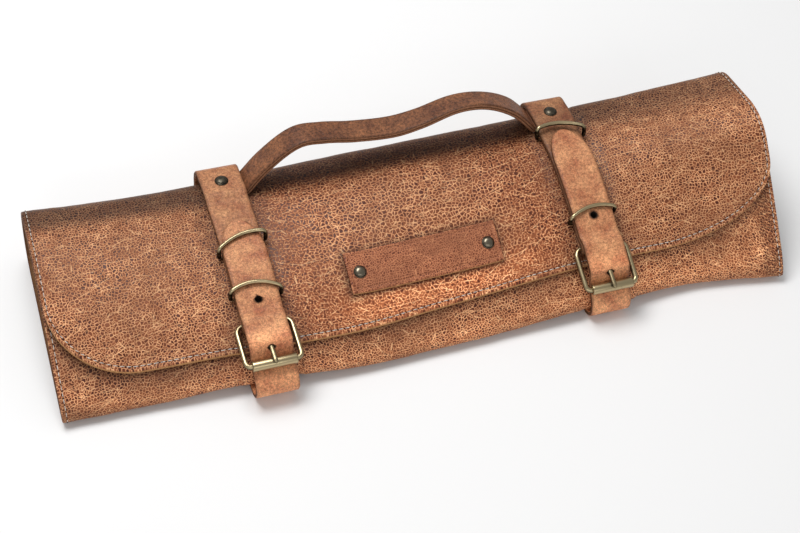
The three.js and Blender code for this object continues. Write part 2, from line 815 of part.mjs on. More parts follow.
function handleSpot(x) {
  const along = THREE.MathUtils.clamp((x - waveStart) / (waveEnd - waveStart), 0, 1);
  const a = onOutline(left.outline, left.handle);
  const b = onOutline(right.outline, right.handle);
  const point = a.point.clone().lerp(b.point, along);
  const tangent = a.tangent.clone().lerp(b.tangent, along).normalize();
  const normal = new THREE.Vector2(-tangent.y, tangent.x);
  const rise = blend(handleWave, 'along', along, 'rise');
  point.addScaledVector(normal, gap + handleRise * Math.max(rise, 0));
  const twist = THREE.MathUtils.degToRad(blend(handleWave, 'along', along, 'twist'));
  tangent.rotateAround(new THREE.Vector2(), -twist);
  return { point, tangent, normal };
}

function handleBody() {
  const end = beltWidth / 2 - handleCover;
  const wave = evenly(waveStart, waveEnd, handleStep);
  const ends = [left.x - end, waveStart - handleStart, waveEnd + handleStart, right.x + end];
  const stops = [...wave, ...ends].sort((one, other) => one - other);
  const last = stops.length - 1;
  return loft(stops.map((x, i) => {
    const { point, tangent, normal } = handleSpot(x);
    const before = stops[Math.max(i - 1, 0)];
    const after = stops[Math.min(i + 1, last)];
    const climb = handleSpot(after).point.sub(handleSpot(before).point);
    const across = inPlane(0, tangent);
    const flat = i === 0 || i === last;
    const turned = inPlane(after - before, climb).cross(across).normalize();
    const up = flat ? inPlane(0, normal) : turned;
    const corner = (side, lift) => inPlane(x, point)
      .addScaledVector(across, side * handleWidth / 2)
      .addScaledVector(up, lift);
    return [corner(-1, 0), corner(1, 0), corner(1, handleThickness), corner(-1, handleThickness)];
  }));
}

const handleHoles = layouts.map((layout) => {
  const place = onOutline(layout.outline, layout.handle);
  const point = inPlane(layout.x, place.point);
  return punch(shankDiameter + 2 * gap, 0, 2 * handleTop, point, inPlane(0, place.normal));
});
add('handle', cutAway(handleBody(), handleHoles), finish.strap);

// Label on the flap, held by two rivets through the flap
function labelSpot(x, up, lift) {
  const outline = outlineAt(x);
  const place = onOutline(outline, labelRise * frontRun(labelPlace) + up, lift);
  return { point: inPlane(x, place.point), normal: inPlane(0, place.normal) };
}

function labelPlate() {
  const rows = evenly(-labelHeight / 2, labelHeight / 2, labelRow);
  const columns = evenly(labelPlace - labelLength / 2, labelPlace + labelLength / 2, labelStep);
  return loft(columns.map((x) => {
    const under = rows.map((up) => labelSpot(x, up, gap).point);
    const over = rows.map((up) => labelSpot(x, up, gap + labelThickness).point);
    return under.concat(over.reverse());
  }));
}

const labelPunches = [];
for (const [side, name] of [[-1, 'left'], [1, 'right']]) {
  const x = labelPlace + side * (labelLength / 2 - labelRivetInset);
  const { point, normal } = labelSpot(x, 0, gap + labelThickness);
  const depth = gap + labelThickness + wrapWall;
  labelPunches.push(punch(shankDiameter + 2 * gap, -depth - wrapGap / 2, labelThickness, point, normal));
  const head = rivet(labelRivetDiameter, labelRivetDome, depth + gap);
  const cap = add(`label_rivet_${name}`, head, finish.rivet);
  stand(cap, point.clone().addScaledVector(normal, gap), normal);
}
add('label', cutAway(labelPlate(), labelPunches), finish.label);
add('roll_wrap', cutAway(loft(wrapStations().map(wrapRing)), labelPunches), finish.wrap);

const centred = new THREE.Group();
const box = new THREE.Box3().setFromObject(roll);
const middle = box.getCenter(new THREE.Vector3());
roll.position.set(-middle.x, -middle.y, -box.min.z);
centred.add(roll);

export default centred;
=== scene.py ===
# %% [markdown]
# A knife roll is one thick leather sheet, folded round the knives into a flat tube and shut by two buckled
# belts. The solids could be dressed as they are, but their flat facets would show on soft leather and round
# wire. So the pieces are made again here, finer, from the same sizes, and each one replaces its solid. The
# stitches have no solid, and are only made here.

# %% The frame
import math
import bpy
import bmesh
import numpy as np
from mathutils import Matrix, Vector, noise
from mathutils.kdtree import KDTree


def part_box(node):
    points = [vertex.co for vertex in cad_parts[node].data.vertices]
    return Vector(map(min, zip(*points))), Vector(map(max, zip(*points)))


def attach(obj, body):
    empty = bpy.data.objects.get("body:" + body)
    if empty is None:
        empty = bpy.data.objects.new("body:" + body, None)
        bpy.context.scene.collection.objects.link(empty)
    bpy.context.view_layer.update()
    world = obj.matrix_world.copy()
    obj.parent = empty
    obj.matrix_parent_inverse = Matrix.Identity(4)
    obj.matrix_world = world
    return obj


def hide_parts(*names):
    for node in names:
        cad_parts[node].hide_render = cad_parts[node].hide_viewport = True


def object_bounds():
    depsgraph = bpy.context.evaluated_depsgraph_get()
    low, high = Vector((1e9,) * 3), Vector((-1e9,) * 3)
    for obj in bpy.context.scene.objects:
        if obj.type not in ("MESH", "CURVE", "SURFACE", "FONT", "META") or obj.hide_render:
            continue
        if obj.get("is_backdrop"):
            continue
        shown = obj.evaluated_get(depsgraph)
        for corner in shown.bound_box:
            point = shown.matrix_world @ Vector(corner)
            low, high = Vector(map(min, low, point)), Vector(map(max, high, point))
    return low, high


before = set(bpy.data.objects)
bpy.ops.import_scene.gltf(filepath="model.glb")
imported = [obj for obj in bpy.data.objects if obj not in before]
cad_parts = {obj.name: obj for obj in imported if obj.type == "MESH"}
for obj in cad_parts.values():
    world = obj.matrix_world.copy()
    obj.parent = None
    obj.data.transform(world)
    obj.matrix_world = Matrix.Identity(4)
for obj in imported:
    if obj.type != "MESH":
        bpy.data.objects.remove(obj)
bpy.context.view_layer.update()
MM = 0.001

# %% [markdown]
# The photograph is taken with a longish lens from the front left and well above, with the camera rolled a
# little, so that the roll climbs to the right. The camera could be aimed with a constraint, but here its
# three directions are worked out from the angles, which keeps the roll of the camera exact.

# %% Camera
PHOTO_WIDTH = 800
FOCAL_PIXELS = 1659
SENSOR_MM = 36
TURN, FALL, LEAN = (math.radians(a) for a in (23.9, 50.0, 7.3))

sight = Vector((math.sin(TURN) * math.cos(FALL), math.cos(TURN) * math.cos(FALL), -math.sin(FALL)))
level = sight.cross(Vector((0, 0, 1))).normalized()
raised = level.cross(sight)
right = level * math.cos(LEAN) + raised * math.sin(LEAN)
top = raised * math.cos(LEAN) - level * math.sin(LEAN)

camera_data = bpy.data.cameras.new("camera")
camera_data.sensor_width = SENSOR_MM
camera_data.lens = FOCAL_PIXELS / PHOTO_WIDTH * SENSOR_MM
camera = bpy.data.objects.new("camera", camera_data)
camera.matrix_world = Matrix.Translation((-0.28277, -0.62272, 0.8178)) @ Matrix(
    (right, top, -sight)).transposed().to_4x4()
bpy.context.scene.collection.objects.link(camera)
bpy.context.scene.camera = camera
print("lens:", round(camera_data.lens, 1), "mm")

# %% [markdown]
# The roll's section changes along its length: it is full at the right end and pressed flat under the
# belts. It could be sculpted, but a table of sections is exact and can be read: each row is a place along
# the roll, and the outline is a polygon with rounded corners, walked from the front fold, up the front,
# over the top and back underneath.

# %% Sizes of the roll
ROLL_LENGTH, ROLL_DEPTH, ROLL_HEIGHT = 468.0, 146.0, 52.0
WALL, WALL_GAP = 2.4, 1.0
FOLD_RADIUS, BULGE_RADIUS, SHOULDER_RADIUS, TOP_RADIUS = 13.0, 23.4, 17.5, 11.2
FRONT_LEAN, TOP_INSET, BACK_INSET, BACK_MIDDLE = 1.0, 7.0, 6.5, 0.45
FLAP_LIFT, FLAP_LIFT_REACH, INNER_REACH, END_SKEW = 3.0, 50.0, 0.56, 3.0
BELLY_SAG, BELLY_REACH = 2.5, 60.0
BELT_WIDTH, BELT_THICKNESS, GAP = 26.5, 3.0, 0.35
FRAME_WIRE, FRAME_LENGTH, HEEL_CORNER, ROLLER_CORNER, FRAME_SIDE = 3.0, 27.5, 5.0, 3.2, 2.2
FRAME_WIDTH = BELT_WIDTH + 2 * FRAME_SIDE + FRAME_WIRE
PRESSED_HALF = (FRAME_WIDTH + FRAME_WIRE) / 2 + 0.7
STRAP_FLOOR = BELT_THICKNESS + GAP
BELT_PLACES = {"left": -109.0, "right": 111.0}

SECTION_COLUMNS = ("at", "height", "front", "shoulder", "back", "bulge", "drop")
SECTIONS = (
    (-0.500, 0.98, -0.470, 0.150, 0.495, 0.10, 0.08),
    (-0.400, 0.92, -0.475, 0.150, 0.490, 0.12, 0.07),
    (-0.230, 0.84, -0.490, 0.150, 0.500, 0.13, 0.05),
    (-0.115, 0.93, -0.512, 0.150, 0.500, 0.14, 0.06),
    (0.000, 0.97, -0.505, 0.140, 0.495, 0.14, 0.06),
    (0.115, 1.00, -0.490, 0.140, 0.495, 0.12, 0.06),
    (0.238, 1.01, -0.475, 0.135, 0.500, 0.10, 0.05),
    (0.370, 1.23, -0.455, 0.060, 0.480, 0.06, 0.14),
    (0.500, 1.53, -0.512, 0.000, 0.440, 0.02, 0.22),
)
FLAP_COLUMNS = ("at", "share")
FLAP_EDGE = ((-0.500, 0.385), (-0.250, 0.357), (-0.120, 0.360), (0.000, 0.395),
             (0.120, 0.420), (0.300, 0.445), (0.500, 0.455))
FLAP_CORNER_UP = 46.0
FLAP_CORNER_ALONG = {-1: 50.0, 1: 84.0}
print("pressed half width:", PRESSED_HALF, "mm")


# %% Reading the tables
def ease(value, low, high):
    """0 to 1 as value goes from low to high, eased at both ends."""
    t = np.clip((np.asarray(value, float) - low) / (high - low), 0, 1)
    return t * t * (3 - 2 * t)


def bell(value, middle, width, power=2):
    """1 at the middle, falling off on both sides over the width."""
    return np.exp(-((value - middle) / width) ** power)


def blend(columns, rows, place, column):
    """Smooth value of a column at a place along the roll."""
    c = columns.index(column)
    last = len(rows) - 1
    place = min(max(place, rows[0][0]), rows[last][0])
    i = 0
    while i < last - 1 and place > rows[i + 1][0]:
        i += 1

    def slope(j):
        a, b = rows[max(j - 1, 0)], rows[min(j + 1, last)]
        return (b[c] - a[c]) / (b[0] - a[0])

    span = rows[i + 1][0] - rows[i][0]
    u = (place - rows[i][0]) / span
    start = 2 * u ** 3 - 3 * u ** 2 + 1
    leave = (u ** 3 - 2 * u ** 2 + u) * span * slope(i)
    arrive = (u ** 3 - u ** 2) * span * slope(i + 1)
    return start * rows[i][c] + (1 - start) * rows[i + 1][c] + leave + arrive


def ramp(rows, place):
    """Value at a place from rows of (place, value), eased between them."""
    if place <= rows[0][0]:
        return rows[0][1]
    for (a, low), (b, high) in zip(rows, rows[1:]):
        if place <= b:
            return low + (high - low) * float(ease(place, a, b)) if b > a else high
    return rows[-1][1]


print("height at the middle:", round(blend(SECTION_COLUMNS, SECTIONS, 0.0, "height") * ROLL_HEIGHT, 1), "mm")


# %% The outline at a place along the roll
def pressed(x):
    """The belts press flat dents, so the section stays the same under each belt."""
    for centre in BELT_PLACES.values():
        if abs(x - centre) <= PRESSED_HALF + 1e-6:
            return centre
    return x


class Outline:
    """A closed outline in the YZ plane, measured by the length walked along it."""

    def __init__(self, corners):
        points = [np.array(c[:2]) for c in corners]
        count = len(points)

        def cut(i, towards):
            reach = np.linalg.norm(points[towards] - points[i])
            return points[i] + (points[towards] - points[i]) * min(corners[i][2] / reach, 0.48)

        walked, here = [], cut(0, count - 1)
        first = here
        curves = []
        for i, point in enumerate(points):
            before, after = cut(i, i - 1), cut(i, (i + 1) % count)
            if i > 0:
                curves.append(np.linspace(here, before, 30))
            t = np.linspace(0, 1, 60)[:, None]
            curves.append((1 - t) ** 2 * before + 2 * t * (1 - t) * point + t * t * after)
            here = after
        curves.append(np.linspace(here, first, 30))
        self.ends, total = [], 0.0
        for curve in curves:
            steps = np.linalg.norm(np.diff(curve, axis=0), axis=1)
            walked.append(total + np.concatenate([[0], np.cumsum(steps)]))
            total = walked[-1][-1]
            self.ends.append(total)
        self.total = total
        self.s = np.concatenate(walked)
        self.points = np.concatenate(curves)

    def at(self, s):
        s = np.mod(s, self.total)
        return np.stack([np.interp(s, self.s, self.points[:, k]) for k in (0, 1)], axis=-1)

    def frame(self, s):
        """Tangent and outward normal at s, smoothed over a short stretch."""
        reach = 2.5 / 720 * self.total
        way = self.at(np.asarray(s) + reach) - self.at(np.asarray(s) - reach)
        way = way / np.linalg.norm(way, axis=-1, keepdims=True)
        return way, np.stack([-way[..., 1], way[..., 0]], axis=-1)

    def lifted(self, s, lift):
        return self.at(s) + self.frame(s)[1] * np.asarray(lift)[..., None]


outlines = {}


def outline_at(x):
    place = pressed(x)
    key = round(place, 4)
    if key not in outlines:
        row = {c: blend(SECTION_COLUMNS, SECTIONS, place / ROLL_LENGTH, c) for c in SECTION_COLUMNS[1:]}
        off_belt = min(abs(place - c) - PRESSED_HALF for c in BELT_PLACES.values())
        floor = STRAP_FLOOR - BELLY_SAG * float(ease(max(off_belt, 0), 0, BELLY_REACH))
        crest = STRAP_FLOOR + row["height"] * ROLL_HEIGHT
        front, shoulder, back = (row[c] * ROLL_DEPTH for c in ("front", "shoulder", "back"))
        foot = floor + FOLD_RADIUS
        outlines[key] = Outline([
            (front, floor, FOLD_RADIUS),
            (front + FRONT_LEAN, foot, FOLD_RADIUS),
            ((front + shoulder) / 2, (foot + crest) / 2 + row["bulge"] * ROLL_HEIGHT, BULGE_RADIUS),
            (shoulder, crest, SHOULDER_RADIUS),
            (back - TOP_INSET, crest - row["drop"] * ROLL_HEIGHT, TOP_RADIUS),
            (back, floor + (crest - floor) * BACK_MIDDLE, FOLD_RADIUS),
            (back - BACK_INSET, floor, FOLD_RADIUS),
        ])
    return outlines[key]


FRONT_END, SHOULDER_END, TOP_END, TOP_CORNER, BACK_END = 5, 6, 7, 8, 9


def front_run(x):
    return outline_at(x).ends[FRONT_END]


print("round the roll at the left belt:", round(outline_at(-109.0).total, 1), "mm")

# %% [markdown]
# The buckle fittings lie on that outline. The heel bar's place is a share of the way up the front, and the
# roller is one frame length below it. One roller of the frame's solids then gives the shift between these
# sizes and the frame, so that the scene and the solids line up.

# %% Fittings of the belts
HEEL_BAR, PRONG_WIRE, PRONG_EYE, ROLLER_DIAMETER = 2.6, 2.8, 1.6, 6.4
LEAF_THICKNESS, KEEPER_WIRE, KEEPER_FOOT, KEEPER_SIDE = 1.3, 2.4, 1.3, 1.0
HANDLE_WIDTH, HANDLE_THICKNESS, HANDLE_RISE, HANDLE_OVERHANG = 18.0, 4.0, 30.0, 8.0
BELT_RIVET, BELT_RIVET_DOME = 8.4, 1.8
STRAP_LIFT = KEEPER_FOOT + 2 * GAP
BILLET_LIFT = STRAP_LIFT + BELT_THICKNESS + GAP
HEEL_LIFT = GAP + max(LEAF_THICKNESS, PRONG_EYE) + GAP + HEEL_BAR / 2
FOLD_INSIDE = HEEL_BAR / 2 + GAP
HANDLE_TOP = GAP + HANDLE_THICKNESS + GAP
BILLET_DROP = 0.42
BELTS = {
    "left": {"heel": 0.508, "tip": 1.16, "bend": 8.0, "off": 5.0, "hole": 0.22},
    "right": {"heel": 0.542, "tip": 1.33, "bend": 0.5, "off": 0.5, "hole": 0.48},
}


def lay_out(name):
    """Lengths along the outline and places of one belt's fittings."""
    belt, x = BELTS[name], BELT_PLACES[name]
    outline = outline_at(x)
    run = front_run(x)
    heel = belt["heel"] * run
    heel_place = outline.lifted(heel, HEEL_LIFT)
    roller_lift = GAP + belt["off"] + BELT_THICKNESS + GAP + ROLLER_DIAMETER / 2
    low, high = heel - 2 * FRAME_LENGTH, heel
    while high - low > 1e-6:
        trial = (low + high) / 2
        far = np.linalg.norm(outline.lifted(trial, roller_lift) - heel_place) > FRAME_LENGTH
        low, high = (trial, high) if far else (low, trial)
    roller = (low + high) / 2
    way, out = outline.frame(heel)
    roller_place = outline.lifted(roller, roller_lift)
    along = (roller_place - heel_place) / np.linalg.norm(roller_place - heel_place)
    face = np.array([along[1], -along[0]])
    face = face if face @ out > 0 else -face
    handle = outline.ends[TOP_END] + HANDLE_OVERHANG - HANDLE_WIDTH / 2
    hump = roller_lift + (HEEL_LIFT - roller_lift) * BILLET_DROP + PRONG_WIRE + GAP
    return dict(belt, x=x, outline=outline, run=run, heel_at=heel, heel_place=heel_place, way=way, out=out,
                roller=roller, roller_place=roller_place, along=along, face=face, handle=handle,
                tip_at=belt["tip"] * run, hump=hump)


layouts = {name: lay_out(name) for name in BELTS}
roller_low, roller_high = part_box("buckle_roller_left")
roller_middle = np.array((roller_low + roller_high) / 2) / MM
here = layouts["left"]["roller_place"]
SHIFT = roller_middle - np.array([BELT_PLACES["left"], here[0], here[1]])
print("shift into the frame:", SHIFT.round(3), "mm")


# %% [markdown]
# Every piece here becomes a mesh in metres, at the origin, with its place in its vertices. A piece carries
# the coordinates of its own hide as an attribute: how far along and across the flat leather a point lies.
# Patterns read that instead of the place in space, so that grain runs round the folds as on real leather.

# %% Making mesh pieces
def make_piece(name, points, faces, materials, kinds=None, **facts):
    """A mesh from points in millimetres, with a material for each face and any attributes of its points."""
    mesh = bpy.data.meshes.new(name)
    mesh.from_pydata(((np.asarray(points, float) + SHIFT) * MM).tolist(), [],
                     [list(map(int, f)) for f in faces])
    for material in materials:
        mesh.materials.append(material)
    if kinds is not None:
        mesh.polygons.foreach_set("material_index", np.asarray(kinds, np.int32))
    mesh.polygons.foreach_set("use_smooth", [True] * len(mesh.polygons))
    for fact, values in facts.items():
        values = np.asarray(values, np.float32)
        if values.ndim == 2:
            mesh.attributes.new(fact, "FLOAT_VECTOR", "POINT").data.foreach_set("vector", values.ravel())
        else:
            mesh.attributes.new(fact, "FLOAT", "POINT").data.foreach_set("value", values)
    mesh.update()
    piece = bpy.data.objects.new(name, mesh)
    bpy.context.scene.collection.objects.link(piece)
    return piece


def skin(rings, around, closed=False):
    """Faces between rings of points, ring by ring. A closed skin joins the last ring to the first too."""
    return [(k * around + i, k * around + (i + 1) % around,
             (k + 1) % rings * around + (i + 1) % around, (k + 1) % rings * around + i)
            for k in range(rings if closed else rings - 1) for i in range(around)]


def face_out(piece):
    """Turns a closed piece's faces outwards."""
    shape = bmesh.new()
    shape.from_mesh(piece.data)
    bmesh.ops.recalc_face_normals(shape, faces=shape.faces)
    if shape.calc_volume(signed=True) < 0:
        bmesh.ops.reverse_faces(shape, faces=shape.faces)
    shape.to_mesh(piece.data)
    shape.free()
    return piece


def settle(piece, slot, *nodes):
    """The piece rides on the roll and stands for the solids it replaces, which are hidden. The slot is not
    used.
    """
    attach(piece, "root")
    if nodes:
        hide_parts(*nodes)
    print(piece.name, "faces:", len(piece.data.polygons))


# %% Sheets with rounded edges
LIP_ROWS = (0.85, 0.45, 0.0, -0.45, -0.85)
GRAIN_ROWS = 2


def sheet_solid(outer, inner):
    """Closed sheet from two grids of points. Returns points, faces, kinds (0 outer, 1 inner, 2 the edges
    along x, 3 the two ends) and, for each point, the place in the grid that it comes from."""
    nx, nv = outer.shape[:2]
    grid = np.arange(nx * nv).reshape(nx, nv)
    a, b, c, d = grid[:-1, :-1], grid[1:, :-1], grid[1:, 1:], grid[:-1, 1:]
    quads = np.stack([a, b, c, d], axis=-1).reshape(-1, 4)
    faces = [quads, quads[:, ::-1] + nx * nv]
    kinds = [np.zeros(len(quads)), np.ones(len(quads))]
    ring = ([(i, 0) for i in range(nx - 1)] + [(nx - 1, j) for j in range(nv - 1)]
            + [(i, nv - 1) for i in range(nx - 1, 0, -1)] + [(0, j) for j in range(nv - 1, 0, -1)])
    ring = np.array(ring)
    i, j = ring[:, 0], ring[:, 1]
    after = np.roll(ring, -1, axis=0)
    at_end = (i == after[:, 0]) & ((i == 0) | (i == nx - 1))
    inside = np.stack([np.clip(i, 1, nx - 2), np.clip(j, 1, nv - 2)], axis=-1)
    o, n = outer[i, j], inner[i, j]
    through = o - n
    thick = np.linalg.norm(through, axis=1, keepdims=True)
    through = through / thick
    away = o - outer[inside[:, 0], inside[:, 1]]
    away -= through * (away * through).sum(1, keepdims=True)
    away /= np.linalg.norm(away, axis=1, keepdims=True)
    points = [outer.reshape(-1, 3), inner.reshape(-1, 3)]
    source = [grid.ravel(), grid.ravel()]
    rows = [grid[i, j]]
    start = 2 * nx * nv
    for rise in LIP_ROWS:
        bow = math.sqrt(1 - rise * rise) * 0.3
        points.append((o + n) / 2 + through * thick / 2 * rise + away * thick * bow)
        source.append(grid[i, j])
        rows.append(start + np.arange(len(ring)))
        start += len(ring)
    rows.append(grid[i, j] + nx * nv)
    for step, (one, two) in enumerate(zip(rows, rows[1:])):
        faces.append(np.stack([one, two, np.roll(two, -1), np.roll(one, -1)], axis=-1))
        kinds.append(np.where(at_end, 3, 2) if step >= GRAIN_ROWS else np.zeros(len(ring)))
    return (np.concatenate(points), np.concatenate(faces), np.concatenate(kinds), np.concatenate(source))


print("rows round a sheet's edge:", len(LIP_ROWS) + 1)

# %% [markdown]
# Finishes come next. Colours are written as they look on a screen and turned to linear light by one
# function. One small function adds a node with its settings and links, and each finish is then a
# short list of nodes that can be read from the pattern's size to its colour.

# %% Colours and nodes
def linear(text):
    """An sRGB hex colour as linear light."""
    values = [int(text[i:i + 2], 16) / 255 for i in (0, 2, 4)]
    return tuple(v / 12.92 if v <= 0.04045 else ((v + 0.055) / 1.055) ** 2.4 for v in values) + (1.0,)


def set_inputs(tree, node, inputs):
    """Gives a node its input values, or links them to a socket or to the first output of another node."""
    for name, value in inputs.items():
        if isinstance(value, bpy.types.Node):
            value = value.outputs[0]
        if isinstance(value, bpy.types.NodeSocket):
            tree.links.new(value, node.inputs[name])
        else:
            node.inputs[name].default_value = value


def add_node(tree, kind, inputs=None, stops=None, **settings):
    """A node with its settings, input values or links, and a ramp's stops."""
    made = tree.nodes.new(kind)
    for name, value in settings.items():
        setattr(made, name, value)
    set_inputs(tree, made, inputs or {})
    if stops:
        elements = made.color_ramp.elements
        while len(elements) < len(stops):
            elements.new(1.0)
        for element, (place, colour) in zip(elements, stops):
            element.position = place
            element.color = colour
    return made


def new_finish(name, **values):
    """An empty finish: its node tree and the surface shader with its plain values."""
    material = bpy.data.materials.new(name)
    material.use_nodes = True
    shader = material.node_tree.nodes["Principled BSDF"]
    for socket, value in values.items():
        shader.inputs[socket.replace("_", " ")].default_value = value
    return material, material.node_tree, shader


print("tan as linear light:", [round(v, 3) for v in linear("b8875a")[:3]])

# %% [markdown]
# The roll is waxed cowhide, pulled hard over the folds: the wax cracks into a net of pale tan veins round
# dark brown cells about 2 mm wide, wider in the middle of the front. A picture could show that, but a cell
# pattern on the hide's own coordinates gives the same net at the right size all the way round. Wax gives it
# a soft, broken gloss.

# %% Waxed crackled leather
CELL_MM, PATCH_MM, MOTTLE_MM, STITCH_INSET = 1.85, 46.0, 9.0, 2.1
PULLED_CELL = 1.3


def crackled_leather(name, cell_mm, dark, middle, vein, gloss):
    """Dark cells in a net of light veins. The tone attribute darkens or lightens whole regions."""
    material, tree, shader = new_finish(name, IOR=1.45, Specular_IOR_Level=0.32)
    hide = add_node(tree, "ShaderNodeAttribute", attribute_name="hide").outputs["Vector"]
    tone = add_node(tree, "ShaderNodeAttribute", attribute_name="tone").outputs["Fac"]
    rim = add_node(tree, "ShaderNodeAttribute", attribute_name="rim").outputs["Fac"]
    mm = add_node(tree, "ShaderNodeVectorMath", {0: hide, "Scale": 1 / MM}, operation="SCALE")
    wander = add_node(tree, "ShaderNodeTexNoise",
                      {"Vector": mm, "Scale": 0.22, "Detail": 4.0}).outputs["Color"]
    bent = add_node(tree, "ShaderNodeVectorMath", {0: wander, 1: (3.4,) * 3, 2: mm},
                    operation="MULTIPLY_ADD")
    # Where the hide is pulled over the front, its cells are wider.
    pulled = add_node(tree, "ShaderNodeAttribute", attribute_name="pull").outputs["Fac"]
    small = add_node(tree, "ShaderNodeTexVoronoi", {"Vector": bent, "Scale": 1 / cell_mm},
                     voronoi_dimensions="2D", feature="DISTANCE_TO_EDGE").outputs["Distance"]
    large = add_node(tree, "ShaderNodeTexVoronoi", {"Vector": bent, "Scale": 1 / (cell_mm * PULLED_CELL)},
                     voronoi_dimensions="2D", feature="DISTANCE_TO_EDGE").outputs["Distance"]
    cells = add_node(tree, "ShaderNodeMix", {0: pulled, 2: small, 3: large})
    each = add_node(tree, "ShaderNodeTexVoronoi", {"Vector": bent, "Scale": 1 / cell_mm},
                    voronoi_dimensions="2D", feature="F1").outputs["Color"]
    patch = add_node(tree, "ShaderNodeTexNoise",
                     {"Vector": mm, "Scale": 1 / PATCH_MM, "Detail": 3.0, "Roughness": 0.55}).outputs["Fac"]
    mottle = add_node(tree, "ShaderNodeTexNoise",
                      {"Vector": mm, "Scale": 1 / MOTTLE_MM, "Detail": 4.0, "Roughness": 0.6}).outputs["Fac"]
    # The wax has cracked more in some places than in others.
    cracked = add_node(tree, "ShaderNodeMapRange",
                       {"Value": patch, "From Min": 0.40, "From Max": 0.60, "To Min": 0.66, "To Max": 0.98})
    heart = add_node(tree, "ShaderNodeMapRange",
                     {"Value": cells, "From Min": 0.05, "From Max": 0.28, "To Min": 0.0, "To Max": 1.15},
                     interpolation_type="SMOOTHSTEP")
    heart = add_node(tree, "ShaderNodeMath", {0: heart, 1: cracked}, operation="MULTIPLY")
    own = add_node(tree, "ShaderNodeMapRange",
                   {"Value": each, "From Min": 0.0, "From Max": 0.7, "To Min": 0.35, "To Max": 1.0})
    heart = add_node(tree, "ShaderNodeMath", {0: heart, 1: own}, operation="MULTIPLY")
    colour = add_node(tree, "ShaderNodeMix", {0: heart, "A": linear(middle), "B": linear(dark)},
                      data_type="RGBA").outputs["Result"]
    veins = add_node(tree, "ShaderNodeMapRange",
                     {"Value": cells, "From Min": 0.0, "From Max": 0.12, "To Min": 1.0, "To Max": 0.0},
                     interpolation_type="SMOOTHSTEP")
    vein_share = add_node(tree, "ShaderNodeMapRange",
                          {"Value": mottle, "From Min": 0.36, "From Max": 0.62, "To Min": 0.45,
                           "To Max": 1.0})
    shown = add_node(tree, "ShaderNodeMath", {0: veins, 1: vein_share}, operation="MULTIPLY")
    colour = add_node(tree, "ShaderNodeMix", {0: shown, "A": colour, "B": linear(vein)},
                      data_type="RGBA").outputs["Result"]
    # Scratches: the edges of long thin cells, kept only where a second pattern allows it.
    scratched = []
    for turn, share in ((0.85, 0.50), (-0.5, 0.54), (1.9, 0.52)):
        strokes = add_node(tree, "ShaderNodeMapping",
                           {"Vector": mm, "Location": (turn, 3 * turn, 0), "Rotation": (0, 0, turn),
                            "Scale": (0.035, 0.13, 1)})
        stroke = add_node(tree, "ShaderNodeTexVoronoi", {"Vector": strokes, "Scale": 1.0},
                          voronoi_dimensions="2D", feature="DISTANCE_TO_EDGE").outputs["Distance"]
        line = add_node(tree, "ShaderNodeMapRange",
                        {"Value": stroke, "From Min": 0.0, "From Max": 0.024, "To Min": 1.0, "To Max": 0.0})
        sparse = add_node(tree, "ShaderNodeTexNoise",
                          {"Vector": strokes, "Scale": 2.2, "Detail": 2.0}).outputs["Fac"]
        sparse = add_node(tree, "ShaderNodeMapRange",
                          {"Value": sparse, "From Min": share, "From Max": share + 0.08})
        scratched.append(add_node(tree, "ShaderNodeMath", {0: line, 1: sparse}, operation="MULTIPLY"))
    scratch = add_node(tree, "ShaderNodeMath", {0: scratched[0], 1: scratched[1]}, operation="MAXIMUM")
    scratch = add_node(tree, "ShaderNodeMath", {0: scratch, 1: scratched[2]}, operation="MAXIMUM")
    colour = add_node(tree, "ShaderNodeMix", {0: scratch, "A": colour, "B": linear(vein)},
                      data_type="RGBA").outputs["Result"]
    cloud = add_node(tree, "ShaderNodeMapRange",
                     {"Value": patch, "From Min": 0.30, "From Max": 0.70, "To Min": 0.80, "To Max": 1.22})
    speckle = add_node(tree, "ShaderNodeMapRange",
                       {"Value": mottle, "From Min": 0.30, "From Max": 0.70, "To Min": 0.88, "To Max": 1.12})
    cloud = add_node(tree, "ShaderNodeMath", {0: cloud, 1: speckle}, operation="MULTIPLY")
    cloud = add_node(tree, "ShaderNodeMath", {0: cloud, 1: tone}, operation="MULTIPLY")
    colour = add_node(tree, "ShaderNodeVectorMath", {0: colour, "Scale": cloud}, operation="SCALE")
    rough = add_node(tree, "ShaderNodeMapRange",
                     {"Value": heart, "From Min": 0.0, "From Max": 1.0, "To Min": gloss + 0.16,
                      "To Max": gloss})
    # Where the leather was crushed against its seam, short sharp creases run across it, and their lines are
    # darkened with painted shade.
    crushed = add_node(tree, "ShaderNodeAttribute", attribute_name="crush").outputs["Fac"]
    squeezed = add_node(tree, "ShaderNodeMapping", {"Vector": bent, "Scale": (0.16, 0.42, 1)})
    crease = add_node(tree, "ShaderNodeTexVoronoi", {"Vector": squeezed, "Scale": 1.0},
                      voronoi_dimensions="2D", feature="DISTANCE_TO_EDGE").outputs["Distance"]
    crease = add_node(tree, "ShaderNodeMapRange",
                      {"Value": crease, "From Min": 0.0, "From Max": 0.3, "To Min": 1.0, "To Max": 0.0},
                      interpolation_type="SMOOTHSTEP")
    crease = add_node(tree, "ShaderNodeMath", {0: crease, 1: crushed}, operation="MULTIPLY")
    crease_shade = add_node(tree, "ShaderNodeMath", {0: crease, 1: 0.55}, operation="MULTIPLY")
    colour = add_node(tree, "ShaderNodeMix", {0: crease_shade, "A": colour, "B": linear(dark)},
                      data_type="RGBA").outputs["Result"]
